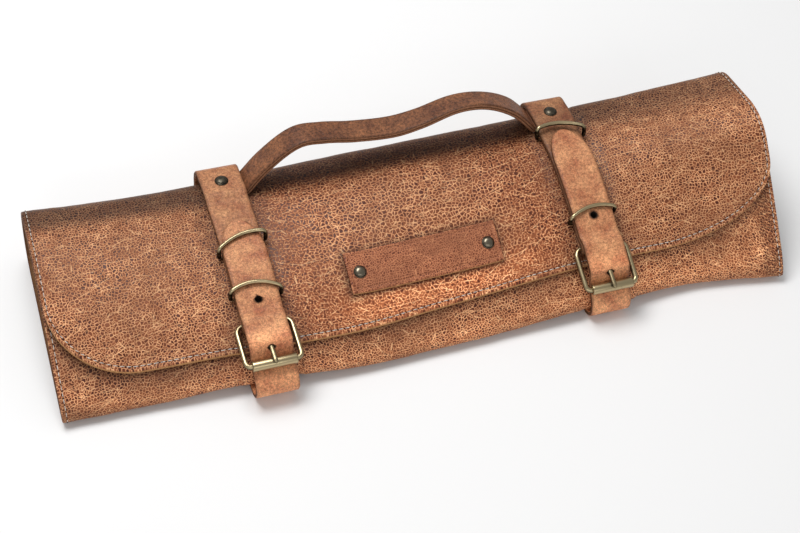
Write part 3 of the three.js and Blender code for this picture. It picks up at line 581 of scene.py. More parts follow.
    # The seam pulls the leather down into a shallow channel.
    seat = add_node(tree, "ShaderNodeMath", {0: rim, 1: STITCH_INSET * MM}, operation="SUBTRACT")
    seat = add_node(tree, "ShaderNodeMath", {0: seat}, operation="ABSOLUTE")
    seam = add_node(tree, "ShaderNodeMapRange",
                    {"Value": seat, "From Min": 0.0, "From Max": 1.3 * MM, "To Min": -1.6, "To Max": 0.0},
                    interpolation_type="SMOOTHSTEP")
    pad = add_node(tree, "ShaderNodeMapRange",
                   {"Value": cells, "From Min": 0.0, "From Max": 0.22, "To Min": 0.0, "To Max": 0.55},
                   interpolation_type="SMOOTHSTEP")
    relief = add_node(tree, "ShaderNodeMath", {0: mottle, 1: 2.2, 2: pad}, operation="MULTIPLY_ADD")
    relief = add_node(tree, "ShaderNodeMath", {0: relief, 1: seam}, operation="ADD")
    relief = add_node(tree, "ShaderNodeMath", {0: crease, 1: -2.6, 2: relief}, operation="MULTIPLY_ADD")
    bump = add_node(tree, "ShaderNodeBump", {"Height": relief, "Strength": 0.7, "Distance": 0.35 * MM})
    set_inputs(tree, shader, {"Roughness": rough, "Base Color": colour, "Normal": bump})
    return material


# Waxed cowhide: the net of light veins makes the eye see a stiff, oiled and well used hide.
waxed_cowhide = crackled_leather("waxed_cowhide", CELL_MM, "441d11", "9a5935", "e2ad7e", 0.40)
print("cells:", CELL_MM, "mm wide")

# %% [markdown]
# The belts and the handle are smooth bridle leather, lighter where the wax has been rubbed off, with a faint
# grain, fine short creases and soft clouds. A tone that runs along each strap makes the belts' fronts and
# lowest loops paler, and paints highlights on the billet's hump and the handle's ends. The belts' sides are
# burnished dark, and the handle's show its two plies.

# %% Strap leather and cut edges
def strap_leather(name, dark, light, gloss, grain_low):
    """Smooth leather with fine pores and short creases. The tone attribute shifts regions."""
    material, tree, shader = new_finish(name, IOR=1.45, Specular_IOR_Level=0.32)
    hide = add_node(tree, "ShaderNodeAttribute", attribute_name="hide").outputs["Vector"]
    tone = add_node(tree, "ShaderNodeAttribute", attribute_name="tone").outputs["Fac"]
    rim = add_node(tree, "ShaderNodeAttribute", attribute_name="rim").outputs["Fac"]
    mm = add_node(tree, "ShaderNodeVectorMath", {0: hide, "Scale": 1 / MM}, operation="SCALE")
    cloud = add_node(tree, "ShaderNodeTexNoise",
                     {"Vector": mm, "Scale": 1 / 13.0, "Detail": 6.0, "Roughness": 0.62}).outputs["Fac"]
    fine = add_node(tree, "ShaderNodeTexNoise",
                    {"Vector": mm, "Scale": 1 / 1.9, "Detail": 5.0, "Roughness": 0.8}).outputs["Fac"]
    wander = add_node(tree, "ShaderNodeTexNoise",
                      {"Vector": mm, "Scale": 0.25, "Detail": 2.0}).outputs["Color"]
    bent = add_node(tree, "ShaderNodeVectorMath", {0: wander, 1: (6.0,) * 3, 2: mm},
                    operation="MULTIPLY_ADD")
    crease = add_node(tree, "ShaderNodeTexVoronoi", {"Vector": bent, "Scale": 1 / 1.6},
                      voronoi_dimensions="2D", feature="DISTANCE_TO_EDGE").outputs["Distance"]
    share = add_node(tree, "ShaderNodeMapRange", {"Value": cloud, "From Min": 0.32, "From Max": 0.68})
    colour = add_node(tree, "ShaderNodeMix", {0: share, "A": linear(dark), "B": linear(light)},
                      data_type="RGBA").outputs["Result"]
    grain = add_node(tree, "ShaderNodeMapRange",
                     {"Value": fine, "From Min": 0.42, "From Max": 0.56, "To Min": grain_low, "To Max": 1.16})
    lines = add_node(tree, "ShaderNodeMapRange",
                     {"Value": crease, "From Min": 0.0, "From Max": 0.2, "To Min": 0.72, "To Max": 1.05})
    grain = add_node(tree, "ShaderNodeMath", {0: grain, 1: lines}, operation="MULTIPLY")
    grain = add_node(tree, "ShaderNodeMath", {0: grain, 1: tone}, operation="MULTIPLY")
    burnish = add_node(tree, "ShaderNodeMapRange",
                       {"Value": rim, "From Min": 0.2 * MM, "From Max": 1.8 * MM, "To Min": 0.62,
                        "To Max": 1.0})
    grain = add_node(tree, "ShaderNodeMath", {0: grain, 1: burnish}, operation="MULTIPLY")
    colour = add_node(tree, "ShaderNodeVectorMath", {0: colour, "Scale": grain}, operation="SCALE")
    rough = add_node(tree, "ShaderNodeMapRange",
                     {"Value": cloud, "From Min": 0.3, "From Max": 0.7, "To Min": gloss,
                      "To Max": gloss + 0.18})
    height = add_node(tree, "ShaderNodeMath", {0: cloud, 1: 3.0, 2: fine}, operation="MULTIPLY_ADD")
    height = add_node(tree, "ShaderNodeMath", {0: height, 1: lines}, operation="ADD")
    bump = add_node(tree, "ShaderNodeBump", {"Height": height, "Strength": 0.7, "Distance": 0.3 * MM})
    set_inputs(tree, shader, {"Base Color": colour, "Roughness": rough, "Normal": bump})
    return material


def raw_leather(name, dark, light, fibre_mm):
    """The cut side or the flesh side of leather: matt, pale and fibrous."""
    material, tree, shader = new_finish(name, Roughness=0.9, IOR=1.4)
    place = add_node(tree, "ShaderNodeTexCoord").outputs["Object"]
    fibres = add_node(tree, "ShaderNodeTexNoise",
                      {"Vector": place, "Scale": 1 / (fibre_mm * MM), "Detail": 6.0,
                       "Roughness": 0.7}).outputs["Fac"]
    colour = add_node(tree, "ShaderNodeValToRGB", {"Fac": fibres},
                      stops=[(0.32, linear(dark)), (0.68, linear(light))]).outputs["Color"]
    bump = add_node(tree, "ShaderNodeBump", {"Height": fibres, "Strength": 0.8, "Distance": 0.3 * MM})
    set_inputs(tree, shader, {"Base Color": colour, "Normal": bump})
    return material


# Bridle leather is smooth and paler than the roll, so the belts stand out. The handle's is darkened by hands.
bridle_leather = strap_leather("bridle_leather", "9a5a3c", "ce9468", 0.36, 0.66)
handle_leather = strap_leather("handle_leather", "5e3725", "94603f", 0.42, 0.48)
# The label's finer, redder net makes it read as another piece of hide.
label_leather = crackled_leather("label_leather", 1.5, "5a2a19", "985b3d", "b97c56", 0.45)
# Cut sides are matt and fibrous, pale if raw and dark if burnished. They show how thick the leather is.
cut_edge = raw_leather("cut_edge", "96633a", "d6a36c", 0.9)
ply_edge = raw_leather("ply_edge", "6e432c", "ab7c5c", 0.9)
burnished_edge = raw_leather("burnished_edge", "3a2112", "74492b", 0.7)
flesh_side = raw_leather("flesh_side", "5c3a22", "86603e", 2.2)
print("strap finishes:", bridle_leather.name, handle_leather.name, label_leather.name)

# %% [markdown]
# The buckles and keepers are steel wire plated in antique brass, bright on the side that faces away from the
# roll and dark underneath: partly wear, partly painted highlight and shade. Rivets are dark nickel. Both are
# metals, so nearly all their look is what they mirror, broken up by a roughness that changes from spot to
# spot.

# %% Metals and thread
def plated_metal(name, dark, bright, rough_low, rough_high):
    """Tarnished plating. A point attribute says how bright a side is, partly from wear and partly as painted
    highlight and shade.
    """
    material, tree, shader = new_finish(name, Metallic=1.0)
    place = add_node(tree, "ShaderNodeTexCoord").outputs["Object"]
    rub = add_node(tree, "ShaderNodeAttribute", attribute_name="rub").outputs["Fac"]
    cloud = add_node(tree, "ShaderNodeTexNoise",
                     {"Vector": place, "Scale": 1 / (2.4 * MM), "Detail": 5.0,
                      "Roughness": 0.65}).outputs["Fac"]
    brightness = add_node(tree, "ShaderNodeMath", {0: cloud, 1: 0.9, 2: rub}, operation="MULTIPLY_ADD")
    colour = add_node(tree, "ShaderNodeValToRGB", {"Fac": brightness},
                      stops=[(0.42, linear(dark)), (1.0, linear(bright))]).outputs["Color"]
    rough = add_node(tree, "ShaderNodeMapRange", {"Value": brightness, "From Min": 0.5, "From Max": 1.1,
                                                  "To Min": rough_high, "To Max": rough_low})
    set_inputs(tree, shader, {"Base Color": colour, "Roughness": rough})
    return material


def waxed_thread(name, shade, light):
    """Twisted thread: matt, with a soft change of shade along it."""
    material, tree, shader = new_finish(name, Roughness=0.65, Sheen_Weight=0.3)
    place = add_node(tree, "ShaderNodeTexCoord").outputs["Object"]
    twist = add_node(tree, "ShaderNodeTexNoise",
                     {"Vector": place, "Scale": 1 / (0.8 * MM), "Detail": 2.0}).outputs["Fac"]
    colour = add_node(tree, "ShaderNodeValToRGB", {"Fac": twist},
                      stops=[(0.35, linear(shade)), (0.65, linear(light))]).outputs["Color"]
    bump = add_node(tree, "ShaderNodeBump", {"Height": twist, "Strength": 0.5, "Distance": 0.1 * MM})
    set_inputs(tree, shader, {"Base Color": colour, "Normal": bump})
    return material


# Antique brass and dark nickel are the only metals, so their glints lead the eye to the fastenings.
antique_brass = plated_metal("antique_brass", "211a12", "b5a480", 0.31, 0.48)
dark_nickel = plated_metal("dark_nickel", "1a1714", "7d7464", 0.28, 0.42)
# Pale matt thread between dark needle holes makes the seam read as stitched by hand.
linen_thread = waxed_thread("linen_thread", "a3988d", "e4ddd5")
# Needle holes and the walls of holes cut in the belts are painted near black, as painted shade inside a hole.
needle_dark = raw_leather("needle_dark", "1c120c", "2c1c12", 0.5)
print("metals:", antique_brass.name, dark_nickel.name)

# %% [markdown]
# The wrap is the sheet itself. Its flap ends in two big rounded corners on the front, and the sheet runs on
# over the top, down the back, underneath and up the front again below the flap, ending inside. It could be
# a thickened plane, but then both faces would share one grid; here the outer and the inner face are two
# grids with their own finish and a rounded cut edge between them. Soft hollows come from smooth noise.

# %% The wrap's grids
FLAP_ROWS = 44
SHEET_STEP = 3.0
STATION_STEP = 3.1
NEAR_END_STEPS = 16
TUCK = WALL + WALL_GAP
EDGE_BEVEL = 1.5


def flap_start(x):
    """How far up the front the flap's edge lies, with an elliptical corner at each end."""
    straight = blend(FLAP_COLUMNS, FLAP_EDGE, x / ROLL_LENGTH, "share") * front_run(x)
    along = FLAP_CORNER_ALONG[-1 if x < 0 else 1]
    inset = min(max((ROLL_LENGTH / 2 - abs(x)) / along, 0), 1)
    return straight + FLAP_CORNER_UP * (1 - math.sqrt(1 - (1 - inset) ** 2))


def stations():
    """Places along the roll, closer together towards the ends, where the flap's corners turn up."""
    half = ROLL_LENGTH / 2
    close = [half - 24.0 * (k / NEAR_END_STEPS) ** 1.7 for k in range(NEAR_END_STEPS)]
    steps = round((2 * half - 48.0) / STATION_STEP)
    middle = np.linspace(-half + 24.0, half - 24.0, steps + 1)
    return np.concatenate([-np.array(close), middle, np.array(close)[::-1]])


def sheet_grids():
    """Outer and inner grid of the wrap, and the place of each point on the flat hide."""
    xs = stations()
    sample = outline_at(0.0)
    rest = np.linspace(0, 1, round((sample.total + sample.ends[BACK_END]
                                    - sample.ends[SHOULDER_END]) / SHEET_STEP) + 1)[1:]
    outer, inner, hide = [], [], []
    for x in xs:
        outline = outline_at(x)
        start, shoulder = flap_start(x), outline.ends[SHOULDER_END]
        end = outline.total + outline.ends[TOP_CORNER] + (
            outline.ends[BACK_END] - outline.ends[TOP_CORNER]) * INNER_REACH
        s = np.concatenate([np.linspace(start, shoulder, FLAP_ROWS), shoulder + rest * (end - shoulder)])
        near_end = 1 - float(ease(x + ROLL_LENGTH / 2, 0, FLAP_LIFT_REACH))
        near_edge = 1 - ease(s - start, 0, FLAP_LIFT_REACH)
        sink = TUCK * ease(s - outline.total, 0, 2 * FOLD_RADIUS)
        lift = FLAP_LIFT * near_edge * near_end - sink
        bevel = EDGE_BEVEL * (1 - ease(s - start, 0, 12))
        for side, depth, set_back in ((outer, 0.0, bevel), (inner, WALL, 0.0)):
            yz = outline.lifted(s + set_back, lift - depth)
            skew = END_SKEW * near_end * (0.5 + yz[:, 0] / ROLL_DEPTH)
            side.append(np.column_stack([x + skew, yz]))
        hide.append(np.column_stack([np.full_like(s, x), s, np.zeros_like(s)]))
    return np.array(outer), np.array(inner), np.array(hide)


wrap_outer, wrap_inner, wrap_hide = sheet_grids()
print("wrap grid:", wrap_outer.shape[:2])


# %% Hollows of the wrap
NOISE_OCTAVES = 3


def soft_noise(hide, size, seed):
    """Smooth noise over the hide, about -1 to 1, with hollows of about size millimetres."""
    flat = hide.reshape(-1, 3) / size
    values = [noise.fractal(Vector((p[0] + seed, p[1], seed)), 1.0, 2.0, NOISE_OCTAVES) for p in flat]
    return np.array(values).reshape(hide.shape[:-1])


def rim_distance(hide, border):
    """Distance of each point to the border of the hide."""
    tree = KDTree(len(border))
    for k, point in enumerate(border):
        tree.insert(point, k)
    tree.balance()
    return np.array([tree.find(p)[2] for p in hide.reshape(-1, 3)]).reshape(hide.shape[:-1])


def border_of(hide):
    """The hide's border, with points about a millimetre apart."""
    loop = np.concatenate([hide[:, 0], hide[-1, 1:], hide[-2::-1, -1], hide[0, -2::-1]])
    dense = []
    for a, b in zip(loop, loop[1:]):
        steps = max(1, int(np.linalg.norm(b - a)))
        dense += [a + (b - a) * k / steps for k in range(steps)]
    return np.array(dense)


wrap_rim = rim_distance(wrap_hide, border_of(wrap_hide))
x_on, s_on = wrap_hide[..., 0], wrap_hide[..., 1]
off_belts = np.min([np.abs(x_on - c) - BELT_WIDTH / 2 for c in BELT_PLACES.values()], axis=0)
calm = ease(off_belts, 6, 30) * ease(wrap_rim, 0, 8)
hollows = soft_noise(wrap_hide, 46.0, 3.1) * 0.55 + soft_noise(wrap_hide, 17.0, 9.7) * 0.22
out_way = wrap_outer - wrap_inner
out_way /= np.linalg.norm(out_way, axis=-1, keepdims=True)
moved = out_way * (hollows * calm)[..., None]
wrap_outer = wrap_outer + moved
wrap_inner = wrap_inner + moved
print("deepest hollow:", round(float((hollows * calm).min()), 2), "mm")

# %% Tones of the wrap
LABEL_LENGTH, LABEL_HEIGHT, LABEL_THICKNESS, LABEL_PLACE, LABEL_RISE = 98.0, 26.0, 1.8, -1.5, 0.70
TONE_RANGE = (0.3, 2.1)
label_middle = LABEL_RISE * front_run(LABEL_PLACE)
station_outlines = [outline_at(x) for x in x_on[:, 0]]
total_on = np.array([outline.total for outline in station_outlines])[:, None]
shoulder_on, top_on, back_on = (np.array([outline.ends[end] for outline in station_outlines])[:, None]
                                for end in (SHOULDER_END, TOP_END, BACK_END))
start_on = s_on[:, :1]
panel = ease(s_on, total_on - 5, total_on + 5)
# A painted highlight lightens a band along the middle of the front slope.
tone = 1 + 0.16 * bell(s_on / shoulder_on, 0.55, 0.24)
# Painted shade darkens the fold along the top and the leather beside the belts.
top_fold_shade = ease(s_on, shoulder_on * 0.97, top_on * 0.97) * (1 - 0.6 * ease(s_on, top_on + 20, back_on))
tone *= 1 - (0.68 - 0.2 * ease(x_on, 120, 200)) * top_fold_shade
tone *= 1 - 0.36 * (1 - ease(np.abs(off_belts), 0, 15))
# Painted shadow darkens the leather round the label.
off_label = np.maximum(np.abs(x_on - LABEL_PLACE) - LABEL_LENGTH / 2,
                       np.abs(s_on - label_middle) - LABEL_HEIGHT / 2)
tone *= 1 - 0.6 * bell(np.maximum(off_label, 0), 0, 3.6)
# A painted highlight lightens the flap just above its lower edge, in the middle.
painted_flap_highlight = bell(x_on, 5, 66, 4) * bell(s_on - start_on, 11, 12)
tone *= 1 + 1.15 * painted_flap_highlight * (1 - panel)
tone *= 1 + 0.06 * ease(x_on, 60, 140) * ease(s_on / shoulder_on, 0.62, 0.9) * (1 - panel)
# The front panel gets painted shadow under the flap and a painted highlight along its bulge.
below_flap = start_on + total_on - s_on
painted_flap_shadow = bell(np.maximum(below_flap, 0), 0, 9)
painted_bulge_highlight = bell(below_flap, 0.5 * start_on, 7)
tone = tone * (1 - panel) + panel * (1.20 + 0.46 * x_on / ROLL_LENGTH - 0.40 * painted_flap_shadow + 0.42 * painted_bulge_highlight)
tone *= 1 + 0.08 * soft_noise(wrap_hide, 60.0, 21.0)
# The hide is pulled in the middle of the front, and crushed against the seam at the right end.
pull = bell(x_on, -5, 95, 4) * bell(s_on / shoulder_on, 0.72, 0.42, 4) * (1 - panel)
crush = ease(x_on, ROLL_LENGTH / 2 - 15, ROLL_LENGTH / 2 - 9) * ease(s_on, total_on + 6, total_on + 16)
print("tones:", round(float(tone.min()), 2), "to", round(float(tone.max()), 2))

# %% The wrap
points, faces, kinds, source = sheet_solid(wrap_outer, wrap_inner)
wrap = make_piece("wrap_sheet", points, faces, [waxed_cowhide, flesh_side, cut_edge, burnished_edge], kinds,
                  hide=wrap_hide.reshape(-1, 3)[source] * MM, rim=wrap_rim.ravel()[source] * MM,
                  tone=np.clip(tone, *TONE_RANGE).ravel()[source], crush=crush.ravel()[source],
                  pull=pull.ravel()[source])
settle(wrap, "wrap_leather", "roll_wrap")


# %% [markdown]
# Each belt is one strap: thinned to a leaf under the buckle's heel bar, folded round it, up over the top and
# the handle's end, down the back, underneath, up through the buckle and through two keepers to its tip.
# A curve with a bevel would give a strap, but not the billet's hump over the bar and its dive under the
# roller, so the strap is lofted from sections whose lift off the roll is read from a short table.

# %% The path of a belt
LEAF_LENGTH, LEAF_BEND, TIP_LENGTH, HUMP_REACH = 8.0, 5.6, 24.0, 8.0
BEND_START, BEND_END, CLIMB, FALL_BACK, BACK_RISE = 9.0, 18.0, 8.0, 16.0, 1.6
STRAP_STEP = 1.6


def belt_lift(at, q):
    """Lift of the belt's inner face along its path: one turn, then a second as the billet."""
    total, heel, roller, handle = at["outline"].total, at["heel_at"], at["roller"], at["handle"]
    over_heel = HEEL_LIFT + FOLD_INSIDE + BELT_THICKNESS + GAP
    return ramp([
        (heel, HEEL_LIFT + FOLD_INSIDE),
        (heel + HUMP_REACH, STRAP_LIFT),
        (handle - HANDLE_WIDTH / 2 - CLIMB, STRAP_LIFT),
        (handle - HANDLE_WIDTH / 2 - GAP, HANDLE_TOP),
        (handle + BELT_RIVET / 2, HANDLE_TOP),
        (handle + HANDLE_WIDTH / 2, HANDLE_TOP + BACK_RISE),
        (handle + HANDLE_WIDTH / 2 + FALL_BACK, GAP),
        (total + BEND_START, GAP),
        (total + BEND_END, GAP + at["bend"]),
        (total + roller, GAP + at["off"]),
        (total + roller + (heel - roller) * BILLET_DROP, at["hump"]),
        (total + heel, over_heel),
        (total + heel + HUMP_REACH, BILLET_LIFT),
    ], q)


def belt_half_width(at, q):
    """Half the belt's width: it narrows to a rounded point over its last stretch."""
    left = at["outline"].total + at["tip_at"] - q
    if left >= TIP_LENGTH:
        return BELT_WIDTH / 2
    return BELT_WIDTH / 2 * max(math.sqrt(1 - (1 - left / TIP_LENGTH) ** 2), 0.06)


def belt_spine(at):
    """Inner and outer points of the belt, its half width and the length walked, ring by ring."""
    outline, heel, total = at["outline"], at["heel_at"], at["outline"].total
    leaf_low = HEEL_LIFT - FOLD_INSIDE - LEAF_THICKNESS
    rings = []
    for s in np.linspace(heel + LEAF_LENGTH, heel, 6):
        low = ramp([(heel, leaf_low), (heel + LEAF_BEND, GAP)], s)
        rings.append((outline.lifted(s, low + LEAF_THICKNESS), outline.lifted(s, low), BELT_WIDTH / 2))
    for share in np.linspace(0, 1, 14)[1:-1]:
        angle = -math.pi / 2 - math.pi * share
        spoke = at["way"] * math.cos(angle) + at["out"] * math.sin(angle)
        thick = LEAF_THICKNESS + (BELT_THICKNESS - LEAF_THICKNESS) * share
        near = at["heel_place"] + spoke * FOLD_INSIDE
        rings.append((near, near + spoke * thick, BELT_WIDTH / 2))
    end = total + at["tip_at"]
    body = np.linspace(heel, end - TIP_LENGTH, round((end - TIP_LENGTH - heel) / STRAP_STEP))
    tip = end - TIP_LENGTH * (1 - np.linspace(0, 1, 18)[1:]) ** 1.6
    for q in np.concatenate([body, tip]):
        lift = belt_lift(at, q)
        rings.append((outline.lifted(q, lift), outline.lifted(q, lift + BELT_THICKNESS),
                      belt_half_width(at, q)))
    near, far, half = (np.array(column) for column in zip(*rings))
    middle = (near + far) / 2
    walked = np.concatenate([[0], np.cumsum(np.linalg.norm(np.diff(middle, axis=0), axis=1))])
    return near, far, half, walked


near, far, half, walked = belt_spine(layouts["left"])
print("left belt's length:", round(walked[-1]), "mm, rings:", len(walked))

# %% Straps from spines
STRAP_COLUMNS, SIDE_POINTS = 12, 5


def strap_section(half, corner, groove):
    """Section of a strap as (across in millimetres, share of the thickness), with a glue line's groove."""
    top = [(across, 1.0) for across in np.linspace(half - corner, corner - half, STRAP_COLUMNS)]
    side = [(half, 0.15), (half, 0.42), (half - groove, 0.5), (half, 0.58), (half, 0.85)]
    left_side = [(-a, share) for a, share in reversed(side)]
    bottom = [(across, 0.0) for across in np.linspace(corner - half, half - corner, STRAP_COLUMNS)]
    return side + top + left_side + bottom


def strap_piece(name, near, far, across, half, walked, materials, tones, x_middle, groove=0.0):
    """A closed strap. near and far are its inner and outer faces' middles, in space, ring by ring."""
    points, hide, rim, tone = [], [], [], []
    for k in range(len(near)):
        corner = min(0.55, half[k] * 0.4)
        for a, share in strap_section(half[k], corner, groove):
            points.append(near[k] + across[k] * a + (far[k] - near[k]) * share)
            hide.append((a + x_middle, walked[k], 0))
            rim.append(min(half[k] - abs(a), walked[-1] - walked[k] + 0.6) if 0 < share else 3.0)
            tone.append(tones[k])
    count = len(points) // len(near)
    kinds = []
    for i in range(count):
        turn = i % (SIDE_POINTS + STRAP_COLUMNS)
        on_side = turn < SIDE_POINTS - 1
        kinds.append(2 if on_side and groove and turn in (1, 2) else 1 if on_side else 0)
    kinds = kinds * (len(near) - 1) + [1, 1]
    last = (len(near) - 1) * count
    faces = skin(len(near), count) + [list(range(count)), list(range(last, last + count))[::-1]]
    return face_out(make_piece(name, points, faces, materials, kinds, hide=np.array(hide) * MM,
                               rim=np.array(rim) * MM, tone=tone))


print("points round a strap:", len(strap_section(13.0, 0.5, 0.0)))


# %% Cutting holes
def rod_mesh(name, path, radii, sides, material, wide=1.0):
    """A closed rod in the YZ plane at its own x, with a radius at each point, flattened to be wide."""
    x, yz = path
    rings, rub = [], []
    for k in range(len(yz)):
        way = yz[min(k + 1, len(yz) - 1)] - yz[max(k - 1, 0)]
        way = way / np.linalg.norm(way)
        side = np.array([-way[1], way[0]])
        for i in range(sides):
            angle = 2 * math.pi * i / sides
            spot = yz[k] + side * radii[k] * math.sin(angle)
            rings.append((x + radii[k] * math.cos(angle) * wide, *spot))
            rub.append(0.5 * wear_and_light_share(-math.sin(angle)))
    faces = skin(len(yz), sides)
    faces += [list(range(sides))[::-1], [(len(yz) - 1) * sides + i for i in range(sides)]]
    return face_out(make_piece(name, rings, faces, [material], rub=rub))


def wear_and_light_share(outward):
    """How bright a side of a wire is, from 1 on its outer side to 0 underneath: partly wear, partly painted
    highlight and shade.
    """
    return 0.85 * float(ease(outward, 0.0, 1.0))


def cut_holes(piece, tools):
    """Cuts the tools out of the piece and removes them."""
    for tool in tools:
        cut = piece.modifiers.new("hole", "BOOLEAN")
        cut.operation, cut.solver, cut.object = "DIFFERENCE", "EXACT", tool
        cut.material_mode = "TRANSFER"
        bpy.context.view_layer.update()
        graph = bpy.context.evaluated_depsgraph_get()
        shape = bpy.data.meshes.new_from_object(piece.evaluated_get(graph))
        piece.modifiers.remove(cut)
        old, piece.data = piece.data, shape
        bpy.data.meshes.remove(old)
        bpy.data.objects.remove(tool)
    return piece


def prong_path(at, step=0.25):
    """Points and radii of the prong: an eye round the heel bar, then a shaft on to the roller."""
    eye, shaft = PRONG_EYE / 2, PRONG_WIRE / 2
    round_bar = HEEL_BAR / 2 + GAP + eye
    path, radii = [], []
    for angle in np.arange(-0.95 * math.pi, math.pi / 2, step):
        spoke = at["way"] * math.cos(angle) + at["out"] * math.sin(angle)
        path.append(at["heel_place"] + spoke * round_bar)
        radii.append(eye)
    start = path[-1]
    end = at["roller_place"] + at["face"] * (ROLLER_DIAMETER / 2 + GAP + shaft * 0.8)
    for share in np.linspace(0, 1, 9)[1:]:
        path.append(start + (end - start) * share)
        radii.append(shaft * (1 - 0.2 * share))
    path.append(end + at["along"] * PRONG_WIRE * 0.7)
    radii.append(shaft * 0.7)
    path.append(end + at["along"] * PRONG_WIRE)
    radii.append(shaft * 0.4)
    return np.array(path), np.array(radii)


print("prong points:", len(prong_path(layouts["left"])[0]))

# %% The belts
HOLE_DIAMETER, HOLE_SPACING, PRONG_FLAT = 4.2, 32.0, 1.3
TOP_DARKER = {"left": 0.04, "right": 0.34}
# Paler patches of a belt, the first a painted highlight on the billet's hump: tone added, middle in
# millimetres above the roller, half width, power of the bell.
PALE_PATCHES_AND_HIGHLIGHT = ((0.60, 8.0, 7.0, 2), (0.42, -26.0, 17.0, 4))
for name, at in layouts.items():
    near, far, half, walked = belt_spine(at)
    spine = [np.column_stack([np.full(len(side), at["x"]), side]) for side in (near, far)]
    across = np.tile([1.0, 0.0, 0.0], (len(near), 1))
    to_tip = walked[-1] - walked
    # The front of the belt is pale, with a painted highlight just above its roller, and paler still on the
    # lowest loop.
    tones = 0.94 + 0.30 * (1 - ease(to_tip, 150, 210)) - 0.06 * (1 - ease(to_tip, 95, 110))
    for paler, above_roller, half_width, power in PALE_PATCHES_AND_HIGHLIGHT:
        middle = at["tip_at"] - at["roller"] - above_roller
        tones = tones + paler * bell(to_tip, middle, half_width, power)
    tones -= TOP_DARKER[name] * (1 - ease(walked, 110, 160))
    belt = strap_piece(f"belt_strap_{name}", *spine, across, half, walked, [bridle_leather, burnished_edge],
                       tones, at["x"] * 3)
    path, radii = prong_path(at)
    tools = [rod_mesh("slot", (at["x"], path), radii + 0.45, 12, needle_dark, PRONG_FLAT)]
    prong_hole = at["outline"].total + at["roller"] + (at["heel_at"] - at["roller"]) * at["hole"]
    for step in (1, -1, -2):
        q = prong_hole + step * HOLE_SPACING
        base = at["outline"].lifted(q, belt_lift(at, q) - 1.0)
        top_end = at["outline"].lifted(q, belt_lift(at, q) + 2 * BELT_THICKNESS)
        tools.append(rod_mesh("punch", (at["x"], np.array([base, top_end])), [HOLE_DIAMETER / 2] * 2, 20,
                              needle_dark))
    cut_holes(belt, tools)
    settle(belt, "strap_leather", f"belt_{name}")

# %% [markdown]
# The handle is two straps glued flesh to flesh, which bows up in a wave between the belts and tucks under
# them. It follows a rule too: a table gives how high it rises and how far it twists at each share of its
# way. Its sides show the glue line between the plies, and its faces darken towards their edges.

# %% The handle
HANDLE_COLUMNS = ("along", "rise", "twist")
HANDLE_WAVE = (
    (0.00, 0.00, 0), (0.07, 0.52, 2), (0.17, 0.98, 3), (0.26, 0.96, 3), (0.36, 0.82, 3), (0.50, 0.71, 4),
    (0.60, 0.78, 8), (0.72, 0.97, 12), (0.82, 0.90, 11), (0.92, 0.56, 4), (1.00, 0.00, 0),
)
HANDLE_COVER, HANDLE_START = 2.0, 2.0
wave_start = BELT_PLACES["left"] + BELT_WIDTH / 2 + HANDLE_START
wave_end = BELT_PLACES["right"] - BELT_WIDTH / 2 - HANDLE_START


def handle_spot(x):
    """Inner middle of the handle at x, the direction across it and the direction out."""
    share = min(max((x - wave_start) / (wave_end - wave_start), 0), 1)
    ends = []
    for at in layouts.values():
        way, _ = at["outline"].frame(at["handle"])
        ends.append((at["outline"].at(at["handle"]), way))
    point = ends[0][0] * (1 - share) + ends[1][0] * share
    way = ends[0][1] * (1 - share) + ends[1][1] * share
    way = way / np.linalg.norm(way)
    out = np.array([-way[1], way[0]])
    rise = max(blend(HANDLE_COLUMNS, HANDLE_WAVE, share, "rise"), 0)
    point = point + out * (GAP + HANDLE_RISE * rise)
    twist = -math.radians(blend(HANDLE_COLUMNS, HANDLE_WAVE, share, "twist"))
    turned = np.array([way[0] * math.cos(twist) - way[1] * math.sin(twist),
                       way[0] * math.sin(twist) + way[1] * math.cos(twist)])
    return np.array([x, *point]), np.array([0, *turned]), np.array([0, *out])


end_reach = BELT_WIDTH / 2 - HANDLE_COVER
stops = np.concatenate([[BELT_PLACES["left"] - end_reach], np.linspace(wave_start - 2, wave_end + 2, 120),
                        [BELT_PLACES["right"] + end_reach]])
spots = [handle_spot(x) for x in stops]
near, far, across = [], [], []
for k, (point, wide, out) in enumerate(spots):
    climb = spots[min(k + 1, len(spots) - 1)][0] - spots[max(k - 1, 0)][0]
    up = out if k in (0, len(spots) - 1) else np.cross(climb, wide) / np.linalg.norm(np.cross(climb, wide))
    near.append(point)
    far.append(point + up * HANDLE_THICKNESS)
    across.append(wide)
near, far, across = (np.array(v) for v in (near, far, across))
walked = np.concatenate([[0], np.cumsum(np.linalg.norm(np.diff(near, axis=0), axis=1))])
# The handle's two ends get a painted highlight.
handle_tones = 1 + 0.28 * (1 - ease(walked, 10, 50)) + 0.28 * ease(walked, walked[-1] - 55, walked[-1] - 12)
handle = strap_piece("handle_strap", near, far, across, np.full(len(near), HANDLE_WIDTH / 2), walked,
                     [handle_leather, ply_edge, burnished_edge], handle_tones, 400.0, groove=0.5)
settle(handle, "strap_leather", "handle")

# %% [markdown]
# Keepers and buckle frames are bent from round wire. A curve with a round bevel would do, but the keepers
# lean and bow over the billet, so each wire is a loop of sections on a rounded rectangle in its own plane,
# with the same lean, bow and skew as the solids.

# %% Wire loops
WIRE_SIDES, PLATING = 16, 0.3


